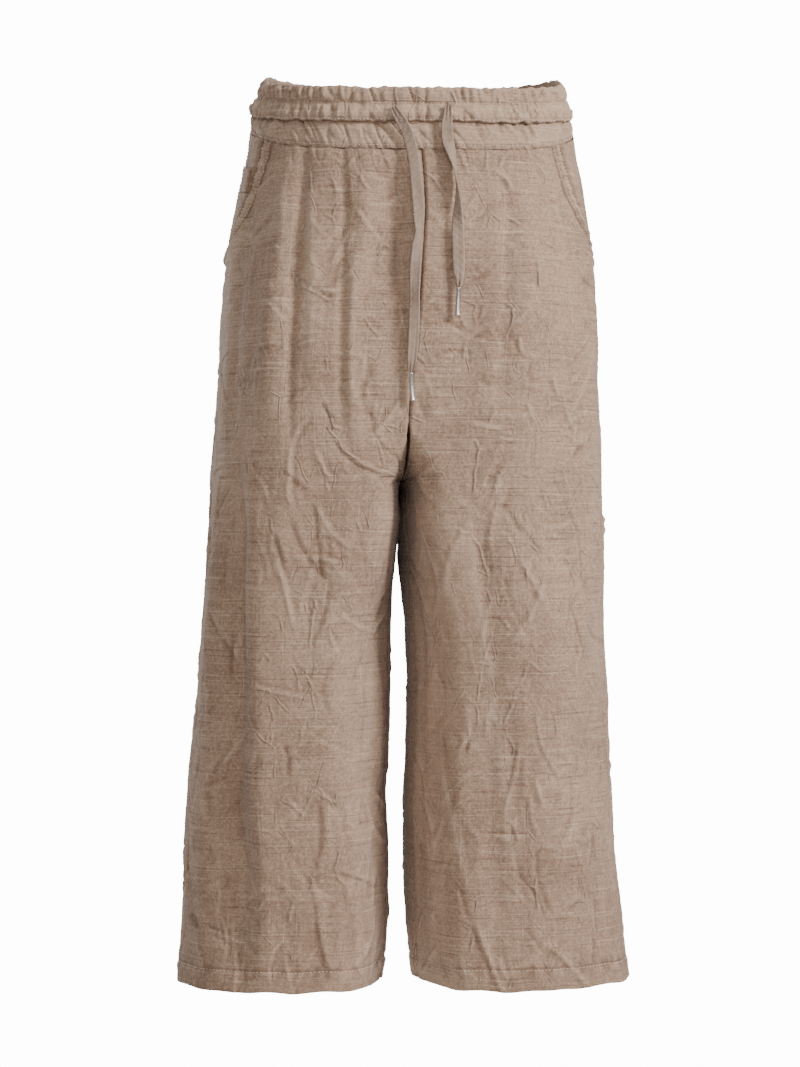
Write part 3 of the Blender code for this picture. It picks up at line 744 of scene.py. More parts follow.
def new_material(name: str, settings: dict[str, Any]) -> tuple[Material, Tree, bpy.types.Node]:
    """Makes a material with a Principled shader.

    Args:
        name: The material's name.
        settings: What is the same all over it, by the shader's socket.

    Returns:
        The material, its node tree and its shader.
    """
    material = bpy.data.materials.new(name)
    material.use_nodes = True
    shader = material.node_tree.nodes["Principled BSDF"]
    for socket, value in settings.items():
        shader.inputs[socket].default_value = value
    return material, material.node_tree, shader


@dataclass(frozen=True)
class LinenFinish:
    """Garment-dyed linen, washed and left crumpled: matt, with slubs and uneven dye."""

    name: str = "garment_dyed_linen"
    dark: str = "8F7360"
    light: str = "AA8D77"
    # The paler of these two colours is that of thick slubs, pale grain and rubbed crests, and of the painted
    # highlights; the darker is that of thin slubs, dark grain and the painted shade.
    pale_tint: str = "D0B79F"
    deep: str = "5C4231"
    slub_height: float = 0.0016
    slub_length: float = 0.055
    thread: float = 0.0011

    def material(self) -> Material:
        """Makes the material.

        Returns:
            The material.
        """
        settings = {
            "Roughness": 0.86, "Specular IOR Level": 0.25,
            "Sheen Weight": 0.12, "Sheen Roughness": 0.5,
        }
        material, tree, shader = new_material(self.name, settings)
        coords = add(tree, "ShaderNodeTexCoord")
        uv, place_at = coords["UV"], coords["Object"]
        weft = self.streaks(tree, uv, 1 / self.slub_length, 1 / self.slub_height, 3.0)
        warp = self.streaks(tree, uv, 1 / (1.3 * self.slub_height), 1 / (1.6 * self.slub_length), 9.0)
        lines = self.fine_creases(tree, place_at)

        # Uneven dye, in patches of about 90 mm and clouds of about 14 mm.
        wide = {"Vector": place_at, "Scale": 11.0, "Detail": 3.0, "Roughness": 0.6}
        small = {"Vector": place_at, "Scale": 70.0, "Detail": 4.0, "Roughness": 0.65}
        patches = add(tree, "ShaderNodeTexNoise", wide)["Fac"]
        clouds = add(tree, "ShaderNodeTexNoise", small)["Fac"]
        sums = {0: clouds, 1: 0.45, 2: patches}
        both = add(tree, "ShaderNodeMath", sums, operation="MULTIPLY_ADD")[0]
        dye = add(tree, "ShaderNodeMapRange", {"Value": both, "From Min": 0.50, "From Max": 0.95})[0]
        shades = {0: dye, 6: srgb(self.dark), 7: srgb(self.light)}
        colour = add(tree, "ShaderNodeMix", shades, data_type="RGBA")[2]

        # Single threads are too fine to show, so the grain is drawn at about 2.4 mm.
        fine = {"Vector": place_at, "Scale": 420.0, "Detail": 2.0, "Roughness": 0.7}
        grain = add(tree, "ShaderNodeTexNoise", fine)["Fac"]
        # The tint that each piece stores: rubbed crests, and painted light and shade.
        crest_wear_and_painted_shading = add(tree, "ShaderNodeAttribute", attribute_name="rubbed_crests_and_painted_shading")["Fac"]

        # Slubs are pale where the thread is thick and dark where it is thin. The crests of creases are pale,
        # partly where they are rubbed and partly as a painted highlight, and their furrows are darkened with
        # painted shade.
        # The tint attribute also carries the painted shade and light of seams, edges, gathers, pocket mouths
        # and the legs. A row says what a tint follows, where it begins and is full, how much it then covers,
        # and its colour.
        tints = (
            (weft, 0.56, 0.72, 0.55, self.pale_tint),
            (weft, 0.42, 0.30, 0.60, self.deep),
            (warp, 0.58, 0.74, 0.24, self.pale_tint),
            (grain, 0.50, 0.72, 0.34, self.pale_tint),
            (grain, 0.50, 0.28, 0.34, self.deep),
            # Pale where the stored tint is positive, for rubbed crests and painted highlights, and dark where
            # it is negative, for painted shade; the fine lines of creases get a painted highlight on their
            # crests and painted shade in their furrows.
            (crest_wear_and_painted_shading, 0.30, 1.60, 0.30, self.pale_tint),
            (crest_wear_and_painted_shading, -0.20, -1.60, 0.55, self.deep),
            (lines, 0.10, 1.00, 0.36, self.pale_tint),
            (lines, -0.10, -0.60, 0.28, self.deep),
        )
        for value, begins, full, most, tint in tints:
            reading = {"Value": value, "From Min": begins, "From Max": full, "To Max": most}
            share = add(tree, "ShaderNodeMapRange", reading)[0]
            shades = {0: share, 6: colour, 7: srgb(tint)}
            colour = add(tree, "ShaderNodeMix", shades, data_type="RGBA")[2]
        tree.links.new(colour, shader.inputs["Base Color"])

        # The weave, with threads drawn about twice as coarse as they are.
        scale = 1 / (self.thread * 20)
        wave = {"Vector": uv, "Scale": scale, "Distortion": 3.0, "Detail": 2.0, "Detail Scale": 2.0}
        threads = [add(tree, "ShaderNodeTexWave", wave, bands_direction=way) for way in ("X", "Y")]
        over_and_under = {k: thread["Fac"] for k, thread in enumerate(threads)}
        weave = add(tree, "ShaderNodeMath", over_and_under, operation="ADD")[0]
        across = add(tree, "ShaderNodeMapRange", {"Value": weft, "From Min": 0.56, "From Max": 0.72})
        upright = add(tree, "ShaderNodeMapRange", {"Value": warp, "From Min": 0.58, "From Max": 0.74})
        both = {0: across[0], 1: upright[0]}
        slubs = add(tree, "ShaderNodeMath", both, operation="ADD")[0]
        # Puckers of about 4 mm.
        close = {"Vector": place_at, "Scale": 260.0, "Detail": 3.0, "Roughness": 0.6}
        puckers = add(tree, "ShaderNodeTexNoise", close)["Fac"]
        layers = (
            (weave, 0.35, 0.00025),
            (slubs, 0.50, 0.0005),
            (puckers, 0.50, 0.0007),
            (lines, 1.00, 0.0012),
        )
        normal = None
        for height, strength, distance in layers:
            inputs = {"Strength": strength, "Distance": distance, "Height": height}
            if normal is not None:
                inputs["Normal"] = normal
            normal = add(tree, "ShaderNodeBump", inputs)[0]
        tree.links.new(normal, shader.inputs["Normal"])
        return material

    def fine_creases(self, tree: Tree, place_at: Any) -> Any:
        """Adds two broken nets of straight, fine creases, each a crest with a shallow furrow beside it.

        Args:
            tree: The material's node tree.
            place_at: The socket that gives places, in metres.

        Returns:
            The output socket of their height, about -0.5 to 1.
        """
        total = None
        # The nets' cells are about 50 x 80 mm and 25 x 40 mm.
        for scale, turn, weight, seed in (((21, 21, 13), 0.5, 1.0, 3.0), ((40, 40, 27), -0.7, 0.6, 11.0)):
            drift = {"Vector": place_at, "Scale": 28.0 + seed, "Detail": 2.0}
            bend = add(tree, "ShaderNodeTexNoise", drift)["Color"]
            half = (0.5, 0.5, 0.5)
            centred = add(tree, "ShaderNodeVectorMath", {0: bend, 1: half}, operation="SUBTRACT")[0]
            push = {0: centred, "Scale": 0.010}
            pushed = add(tree, "ShaderNodeVectorMath", push, operation="SCALE")[0]
            bent = add(tree, "ShaderNodeVectorMath", {0: place_at, 1: pushed}, operation="ADD")[0]
            turned = {"Vector": bent, "Rotation": (0.2, turn, 0.3), "Scale": scale}
            net = {"Vector": add(tree, "ShaderNodeMapping", turned)[0], "Scale": 1.0}
            cells = add(tree, "ShaderNodeTexVoronoi", net, feature="DISTANCE_TO_EDGE")
            away = cells["Distance"]
            rise = {"Value": away, "From Min": 0.040, "From Max": 0.0}
            crest = add(tree, "ShaderNodeMapRange", rise)[0]
            dip = {"Value": away, "From Min": 0.12, "From Max": 0.035, "To Max": 0.45}
            furrow = add(tree, "ShaderNodeMapRange", dip)[0]
            height = add(tree, "ShaderNodeMath", {0: crest, 1: furrow}, operation="SUBTRACT")[0]
            gaps = {"Vector": place_at, "Scale": 34.0 + seed, "Detail": 2.0}
            broken = add(tree, "ShaderNodeTexNoise", gaps)["Fac"]
            keeping = {"Value": broken, "From Min": 0.50, "From Max": 0.62, "To Max": weight}
            kept = add(tree, "ShaderNodeMapRange", keeping)[0]
            part = add(tree, "ShaderNodeMath", {0: height, 1: kept}, operation="MULTIPLY")[0]
            if total is None:
                total = part
            else:
                total = add(tree, "ShaderNodeMath", {0: total, 1: part}, operation="ADD")[0]
        return total

    @staticmethod
    def streaks(tree: Tree, uv: Any, across: float, up: float, offset: float) -> Any:
        """Adds slubs: thick stretches of thread, drawn about twice as coarse as they are.

        Args:
            tree: The material's node tree.
            uv: The socket that gives places on the cloth, in metres.
            across: How many slubs there are to a metre across.
            up: How many there are to a metre up.
            offset: How far the pattern is shifted, so that two sets differ.

        Returns:
            The output socket of their thickness, 0 to 1.
        """
        laid = {"Vector": uv, "Scale": (across, up, 1.0), "Location": (offset, 0, 0)}
        mapped = add(tree, "ShaderNodeMapping", laid)[0]
        return add(tree, "ShaderNodeTexNoise", {"Vector": mapped, "Scale": 1.0, "Detail": 3.0})["Fac"]


@dataclass(frozen=True)
class TapeFinish:
    """Herringbone cotton tape, dyed with the garment: chevrons that meet on a centre line."""

    name: str = "herringbone_cotton_tape"
    dark: str = "8B7160"
    light: str = "BDA492"
    rib: float = 0.0016

    def material(self) -> Material:
        """Makes the material, with ribs drawn about twice as coarse as they are.

        Returns:
            The material.
        """
        settings = {"Roughness": 0.82, "Specular IOR Level": 0.25, "Sheen Weight": 0.15}
        material, tree, shader = new_material(self.name, settings)
        coords = add(tree, "ShaderNodeTexCoord")
        parts = add(tree, "ShaderNodeSeparateXYZ", {0: coords["UV"]})
        across = add(tree, "ShaderNodeMath", {0: parts[1]}, operation="ABSOLUTE")[0]
        slant = add(tree, "ShaderNodeMath", {0: parts[0], 1: across}, operation="ADD")[0]
        to_turns = 2 * math.pi / self.rib
        turns = add(tree, "ShaderNodeMath", {0: slant, 1: to_turns}, operation="MULTIPLY")[0]
        ribs = add(tree, "ShaderNodeMath", {0: turns}, operation="SINE")[0]
        share = add(tree, "ShaderNodeMapRange", {"Value": ribs, "From Min": -1.0, "From Max": 0.8})[0]

        # Wear in patches of about 6 mm.
        patchy = {"Vector": coords["Object"], "Scale": 160.0, "Detail": 3.0}
        pale_tint = add(tree, "ShaderNodeTexNoise", patchy)["Fac"]
        uneven = add(tree, "ShaderNodeMath", {0: share, 1: pale_tint}, operation="MULTIPLY")[0]
        tone = add(tree, "ShaderNodeMapRange", {"Value": uneven, "From Min": 0.0, "From Max": 0.6})[0]
        shades = {0: tone, 6: srgb(self.dark), 7: srgb(self.light)}
        colour = add(tree, "ShaderNodeMix", shades, data_type="RGBA")[2]
        tree.links.new(colour, shader.inputs["Base Color"])
        bump = add(tree, "ShaderNodeBump", {"Strength": 0.8, "Distance": 0.0003, "Height": ribs})
        tree.links.new(bump[0], shader.inputs["Normal"])
        return material


@dataclass(frozen=True)
class ThreadFinish:
    """Spun polyester sewing thread in the cloth's colour: a little paler and smoother than the linen."""

    name: str = "sewing_thread"
    light: str = "DCCBBA"
    dark: str = "BBA695"

    def material(self) -> Material:
        """Makes the material, mottled at about 1 mm.

        Returns:
            The material.
        """
        material, tree, shader = new_material(self.name, {"Roughness": 0.6, "Sheen Weight": 0.2})
        coords = add(tree, "ShaderNodeTexCoord")
        fuzzy = {"Vector": coords["Object"], "Scale": 900.0, "Detail": 2.0}
        fuzz = add(tree, "ShaderNodeTexNoise", fuzzy)["Fac"]
        share = add(tree, "ShaderNodeMapRange", {"Value": fuzz, "From Min": 0.3, "From Max": 0.7})[0]
        shades = {0: share, 6: srgb(self.dark), 7: srgb(self.light)}
        colour = add(tree, "ShaderNodeMix", shades, data_type="RGBA")[2]
        tree.links.new(colour, shader.inputs["Base Color"])
        return material


@dataclass(frozen=True)
class NickelFinish:
    """Nickel-plated brass, polished, with faint handling marks: bright, with sharp dark reflections."""

    name: str = "polished_nickel"
    colour: str = "C9C5BF"

    def material(self) -> Material:
        """Makes the material, with marks of under 1 mm.

        Returns:
            The material.
        """
        material, tree, shader = new_material(self.name, {"Base Color": srgb(self.colour), "Metallic": 1.0})
        coords = add(tree, "ShaderNodeTexCoord")
        scuffed = {"Vector": coords["Object"], "Scale": 1500.0, "Detail": 3.0}
        marks = add(tree, "ShaderNodeTexNoise", scuffed)["Fac"]
        dulled = {"Value": marks, "From Min": 0.3, "From Max": 0.7, "To Min": 0.14, "To Max": 0.3}
        rough = add(tree, "ShaderNodeMapRange", dulled)[0]
        tree.links.new(rough, shader.inputs["Roughness"])
        return material


@dataclass(frozen=True)
class StudioFinish:
    """Matt white studio card: even, with the faintest clouding."""

    name: str = "studio_card"
    light: str = "F4F3F1"
    dark: str = "EDECEA"

    def material(self) -> Material:
        """Makes the material, clouded at about 300 mm.

        Returns:
            The material.
        """
        material, tree, shader = new_material(self.name, {"Roughness": 0.9})
        coords = add(tree, "ShaderNodeTexCoord")
        clouded = {"Vector": coords["Object"], "Scale": 3.0}
        clouds = add(tree, "ShaderNodeTexNoise", clouded)["Fac"]
        share = add(tree, "ShaderNodeMapRange", {"Value": clouds, "To Min": 0.0, "To Max": 0.2})[0]
        shades = {0: share, 6: srgb(self.light), 7: srgb(self.dark)}
        colour = add(tree, "ShaderNodeMix", shades, data_type="RGBA")[2]
        tree.links.new(colour, shader.inputs["Base Color"])
        return material


@dataclass
class Finishes:
    """All the materials of the garment, made once."""

    linen: Material = field(default_factory=lambda: LinenFinish().material())
    tape: Material = field(default_factory=lambda: TapeFinish().material())
    thread: Material = field(default_factory=lambda: ThreadFinish().material())
    nickel: Material = field(default_factory=lambda: NickelFinish().material())


@dataclass
class Surface:
    """A run or a grid of points of a piece, with what its mesh and its stitches need."""

    points: Array
    normals: Array
    # Pale where creases are rubbed on their crests and where a highlight is painted, and dark where shade is
    # painted: in furrows, seams, grooves and recesses, and along the legs.
    crest_wear_and_painted_shading: Array
    uv: Array


def grid_object(
    name: str,
    surface: Surface,
    material: Material,
    flip: bool = False,
    ring: bool = False,
    wrap: bool = False,
) -> Piece:
    """Makes a mesh object from a grid of points.

    Args:
        name: The object's name.
        surface: The grid, rows first.
        material: Its material.
        flip: Whether the faces have to be turned round to face out.
        ring: Whether the last column meets the first.
        wrap: Whether the last row meets the first.

    Returns:
        The object, linked to the scene.
    """
    rows, columns = surface.points.shape[:2]
    row = np.arange(rows if wrap else rows - 1)[:, None]
    column = np.arange(columns if ring else columns - 1)[None, :]
    below, beside = (row + 1) % rows, (column + 1) % columns
    near, far = row * columns, below * columns
    corners = [near + column, far + column, far + beside, near + beside]
    faces = np.stack([np.broadcast_to(c, corners[2].shape) for c in corners], axis=-1).reshape(-1, 4)
    if flip:
        faces = faces[:, ::-1]
    mesh = bpy.data.meshes.new(name)
    mesh.from_pydata(surface.points.reshape(-1, 3).tolist(), [], faces.tolist())
    layer = mesh.uv_layers.new(name="UVMap")
    uv = surface.uv.reshape(-1, 2)[faces.reshape(-1)]
    if ring:
        corner_columns = faces.reshape(-1, 4) % columns
        seam = (corner_columns.max(axis=1) - corner_columns.min(axis=1)) > columns / 2
        width = surface.uv[0, -1, 0] - surface.uv[0, 0, 0]
        first = (corner_columns == 0) & seam[:, None]
        uv = uv + np.stack([first.reshape(-1) * width * columns / (columns - 1), np.zeros(len(uv))], axis=1)
    layer.data.foreach_set("uv", uv.astype(np.float32).ravel())
    # Stores the tint of rubbed crests and of the painted light and shade, which the linen reads as colour.
    values = mesh.attributes.new("rubbed_crests_and_painted_shading", "FLOAT", "POINT")
    values.data.foreach_set("value", surface.crest_wear_and_painted_shading.astype(np.float32).ravel())
    mesh.shade_smooth()
    mesh.materials.append(material)
    made = bpy.data.objects.new(name, mesh)
    bpy.context.scene.collection.objects.link(made)
    log.info("%s: %d triangles", name, 2 * len(faces))
    return made


def place(piece: Piece, slot: str, *nodes: str) -> Piece:
    """Fixes a piece to the garment's one body.

    Args:
        piece: The piece.
        slot: The name of its material slot; not used.
        nodes: The frame's nodes that it stands for, which are hidden.

    Returns:
        The piece.
    """
    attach(piece, "root")
    if nodes:
        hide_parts(*nodes)
    return piece


@dataclass
class LegPanel:
    """A front or back leg, from the yoke seam to the turned-up hem."""

    form: Form
    crumple: Crumple
    side: Side
    front: bool
    columns: int = 180
    row_step: float = 0.00185
    crease_count: int = 420
    creases: Table = field(init=False)

    def __post_init__(self) -> None:
        """Draws this panel's own creases."""
        seed = 20 + 2 * self.side.value + int(self.front)
        self.creases = self.crumple.scatter(seed, self.crease_count, 0.32, HEM_Z, -0.03)

    @property
    def name(self) -> str:
        """The name of the node that this panel stands for."""
        return f"{'front' if self.front else 'back'}_{self.side.name.lower()}"

    def mouth(self, level: Array) -> Array:
        """Gives where the edge of the pocket mouth runs.

        Args:
            level: Heights at the side seam.

        Returns:
            The reach of the edge at each, or 1 below the pocket.
        """
        top = SEAMS["yoke"]["side"]
        share = np.clip((top - level) / (top - POCKET_LOW), 0.0, 1.0)
        width = POCKET_WIDTHS[self.side.value] * np.sqrt(1 - share**3)
        return 1.0 - width / self.form.width(self.side.value, 0.5, level)

    def surface(self, reach: Any, level: Any, out: Any = 0.0) -> Surface:
        """Works out the crumpled cloth at places of the panel.

        Args:
            reach: The reach of each place.
            level: The height of each place's row at the side seam.
            out: How far each place is moved out from the outside of the cloth.

        Returns:
            The places.
        """
        reach, level, out = matched(reach, level, out)
        side = np.full(reach.shape, self.side.value)
        z = row_height(reach, level)
        width = self.form.width(side, reach, z)
        from_centre = (reach if self.front else 2 - reach) * width
        base = self.form.at(side, reach, z)
        normal = self.form.normal(side, reach, z)
        noise = self.crumple.noise

        stop = np.minimum(self.mouth(level), 1.0) if self.front else np.ones(reach.shape)
        from_side = np.abs(stop - reach) * width
        from_yoke = seam_height("yoke", reach) - z
        from_hem = z - HEM_Z
        held = 0.3 + 0.7 * smooth(np.minimum(np.minimum(from_centre, from_side), from_yoke), 0.0, 0.010)

        swells, net = self.crumple.cloth(base)
        strokes = self.crumple.strokes(from_centre, z, self.creases)
        if self.front:
            strokes = strokes + self.crumple.strokes(base[..., 0], z, self.crumple.between(FRONT_CREASES))
        gathers = self.crumple.gathers(base, 0.25) * 0.0008 * smooth(from_yoke, 0.050, 0.0)
        sharp = (net + strokes) * held + gathers
        height = self.crumple.folds(side, reach, z) + swells * held + sharp

        # The hem hangs in slow waves, and its band stands out a little above the stitching.
        hanging = smooth(from_hem, 0.30, 0.0)
        height = height + 0.0030 * hanging * noise.stretched(base, 0.055, 0.30)
        from_stitch = from_hem - HEM_DEPTH
        pulls = noise.at(np.stack([from_centre / 0.006, z / 0.03, side * 5.0], axis=-1))
        sharp = sharp + 0.0008 * pulls * hump(from_stitch, 0.006)
        height = height + 0.0008 * pulls * hump(from_stitch, 0.006) - 0.0007 * hump(from_stitch, 0.0015)
        height = height + 0.0008 * smooth(from_stitch, 0.001, -0.003)
        # Painted shade in a line just under the hem stitching and at the fold, with painted light and shade
        # that follow the pulls.
        painted_shading = 1.1 * hump(from_stitch - 0.0016, 0.0013) + 0.5 * hump(from_hem, 0.0012)
        painted_shading = painted_shading - 0.9 * pulls * hump(from_stitch, 0.008)
        # Painted shade and light on the legs: the right leg's inside is darker below the crotch, its hip paler
        # and its outer thigh darker, and the left leg's inside is paler.
        if self.side is Side.RIGHT:
            painted_shading = painted_shading + 0.2 * smooth(from_centre, 0.075, 0.020) * smooth(-z, 0.34, 0.44)
            outer = smooth(from_side, 0.095, 0.030)
            painted_shading = painted_shading - 1.5 * outer * hump(z + 0.21, 0.09) + 0.6 * outer * hump(z + 0.42, 0.10)
        else:
            painted_shading = painted_shading - 1.6 * smooth(from_centre, 0.070, 0.020) * smooth(-z, 0.33, 0.40)
        # Painted shade, darker towards the hem.
        painted_shading = painted_shading + 0.8 * smooth(from_hem, 0.30, 0.0)

        # Seams pull in and pucker the cloth on both sides of them. A painted shadow lies in each seam's groove
        # and at the yoke seam, with painted light and shade on the puckers beside the seams.
        pucker = noise.at(np.stack([z / 0.0065, from_centre / 0.05, side * 9.0], axis=-1))
        for away in (from_centre, from_side):
            height = height - 0.0018 * hump(away, 0.0016) + 0.0007 * pucker * hump(away, 0.007)
            painted_shading = painted_shading + 1.6 * hump(away, 0.0013) - 0.5 * pucker * hump(away - 0.003, 0.004)
        height = height - 0.0014 * hump(from_yoke, 0.0016)
        painted_shading = painted_shading + 1.4 * hump(from_yoke, 0.0014)
        if self.front:
            height = height + self.pocket_relief(level, z, from_side, pucker)
            # Painted shading round the pocket mouth: painted shadow in the groove beside the stitched band and
            # at the mouth's edge, a painted highlight on the band, painted shade in the dent below the lump at
            # its foot, and painted light and shade on the puckers and on the pleats below it.
            along = smooth(level, POCKET_LOW - 0.004, POCKET_LOW + 0.004)
            band = 2.3 * hump(from_side - 0.0088, 0.0015) - 1.1 * hump(from_side - 0.0035, 0.0024)
            band = band - 0.9 * pucker * hump(from_side - 0.0045, 0.0045) + 1.2 * hump(from_side, 0.0016)
            foot = hump(z - POCKET_LOW + 0.015, 0.005) * hump(from_side - 0.004, 0.009)
            pleats = hump(z - POCKET_LOW + 0.030, 0.016) * hump(from_side - 0.012, 0.014)
            painted_shading = painted_shading + along * band + 2.4 * foot + 0.9 * pucker * pleats

        points = base + normal * (height + out)[..., None]
        middle = np.interp(z, BODY["z"][::-1], BODY["middle"][::-1])
        at_centre = (z >= CROTCH_Z) & (np.minimum(reach, 2 - reach) < 0.004)
        own_side = np.maximum(self.side.value * points[..., 0], self.side.value * middle + GAP / 2)
        points[..., 0] = np.where(at_centre, self.side.value * own_side, points[..., 0])
        points[..., 2] += 0.0022 * smooth(from_hem, 0.04, 0.0) * noise.stretched(base, 0.032, 1.0)
        uv = np.stack([self.side.value * from_centre + (0.0 if self.front else 1.0), z], axis=-1)
        # The tint: pale on raised relief and dark in its furrows, partly rubbed wear and partly painted light
        # and shade, less the painted shading.
        return Surface(points, normal, sharp / 0.0010 - painted_shading, uv)

    def pocket_relief(
        self, level: Array, z: Array, from_mouth: Array, pucker: Array
    ) -> Array:
        """Gives the relief round the pocket mouth: the stitched band, its puckers and the lump at its foot.

        Args:
            level: The height of each place's row at the side seam.
            z: The height of each place.
            from_mouth: How far each place is from the edge of the mouth.
            pucker: The noise that the stitching puckers the cloth by.

        Returns:
            The height of the relief at each place.
        """
        along = smooth(level, POCKET_LOW - 0.004, POCKET_LOW + 0.004)
        groove = -0.0012 * hump(from_mouth - 0.0088, 0.0018)
        band = 0.0011 * smooth(from_mouth, 0.0065, 0.0045)
        ripples = 0.0016 * pucker * hump(from_mouth - 0.0050, 0.0055)
        gape = 0.0022 * hump(from_mouth, 0.006) * smooth(level, POCKET_LOW, POCKET_LOW + 0.03)
        drag_places = np.stack([from_mouth / 0.0055, z / 0.030, np.full(z.shape, 4.0)], axis=-1)
        drags = 0.0016 * self.crumple.noise.at(drag_places)
        lump = 0.0036 * hump(z - POCKET_LOW + 0.006, 0.007) * hump(from_mouth, 0.012)
        fan = drags * hump(z - POCKET_LOW + 0.026, 0.020) * hump(from_mouth - 0.012, 0.016)
        dent = -0.0034 * hump(z - POCKET_LOW + 0.018, 0.006) * hump(from_mouth - 0.004, 0.008)
        return along * (groove + band + ripples + gape) + lump + fan + dent

    def rows(self) -> tuple[Array, Array]:
        """Lists the rows: down the outside, round the fold and up the inside.

        Returns:
            Each row's level and how far out it lies.
        """
        top = SEAMS["yoke"]["side"]
        plain = np.arange(top, HEM_Z, -self.row_step)
        bends = FRONT_TURN_Z + (CROTCH_Z - FRONT_TURN_Z) * np.sin(np.radians(np.arange(58.0, 90.0, 2.5)))
        outside = -np.sort(-np.unique(np.round(np.concatenate([plain, bends, [CROTCH_Z]]), 6)))
        outside = np.append(outside[outside > HEM_Z + 0.0008], [HEM_Z + 0.0005, HEM_Z])
        inside = HEM_Z + np.array([0.0, 0.0006, 0.004, 0.009, 0.014, HEM_DEPTH])
        levels = np.concatenate([outside, inside])
        fold = [-0.0004, -HEM_WALL + 0.0004]
        outs = np.concatenate([np.zeros(len(outside) - 1), fold, np.full(len(inside) - 1, -HEM_WALL)])
        return levels, outs

    def with_allowances(self, surface: Surface) -> Surface:
        """Adds the seam allowances, which turn in at the seams and lie behind the next pieces.

        Args:
            surface: The panel's grid.

        Returns:
            The grid with two more rows or columns at each sewn edge. The front's pocket side has none.
        """
        points, normals, crest_wear_and_painted_shading, uv = surface.points, surface.normals, surface.crest_wear_and_painted_shading, surface.uv
        for axis, end in ((1, 0), (0, 0)) if self.front else ((1, 0), (1, -1), (0, 0)):
            edge, near = (np.take(points, [k], axis) for k in (end, 2 if end == 0 else -3))
            onward = (edge - near) / np.linalg.norm(edge - near, axis=-1, keepdims=True)
            turned = edge - SEAM_TURN * np.take(normals, [end], axis)
            laid = turned + SEAM_ALLOWANCE * onward
            points = np.concatenate([laid, turned, points] if end == 0 else [points, turned, laid], axis)
            pads = [(0, 0), (0, 0)]
            pads[axis] = (2, 0) if end == 0 else (0, 2)
            crest_wear_and_painted_shading = np.pad(crest_wear_and_painted_shading, pads, "edge")
            normals, uv = (np.pad(values, [*pads, (0, 0)], "edge") for values in (normals, uv))
        return Surface(points, normals, crest_wear_and_painted_shading, uv)

    def build(self, finishes: Finishes) -> Piece:
        """Args:
            finishes: The materials.

        Returns:
            The piece.
        """
        levels, outs = self.rows()
        share = np.linspace(0.0, 1.0, self.columns + 1)[None, :]
        width = self.form.width(self.side.value, 0.5 if self.front else 1.5, levels)
        gap = (GAP / 2 / width)[:, None]
        if self.front:
            start, stop = gap, np.minimum(self.mouth(levels)[:, None], 1.0 - gap)
        else:
            start, stop = 1.0 + gap, 2.0 - gap
        reach = start + (stop - start) * share
        cloth = self.surface(reach, levels[:, None], outs[:, None])
        surface = self.with_allowances(cloth)
        made = grid_object(f"{self.name}_linen", surface, finishes.linen, flip=self.side is Side.RIGHT)
        place(made, "linen", self.name)
        return made


@dataclass
class Ring:
    """What the strips round the waist share: columns that run round the body."""

    form: Form
    crumple: Crumple

    def columns_between(self, first: float, last: float, count: int) -> tuple[Array, Array]:
        """Lists places round the body.

        Args:
            first: The first place in quarter turns from the centre front over the wearer's left side.
            last: The last place.
            count: How many steps to take.

        Returns:
            The side and the reach of each place.
        """
        turn = np.linspace(first, last, count + 1) % 4.0
        return np.where(turn <= 2, 1, -1), np.where(turn <= 2, turn, 4 - turn)

    def round_body(self, side: Array, reach: Array) -> Array:
        """Gives how far round the waist each place is, for its UV."""
        quarter = 0.205
        return quarter * np.where(side > 0, reach, 4 - reach)


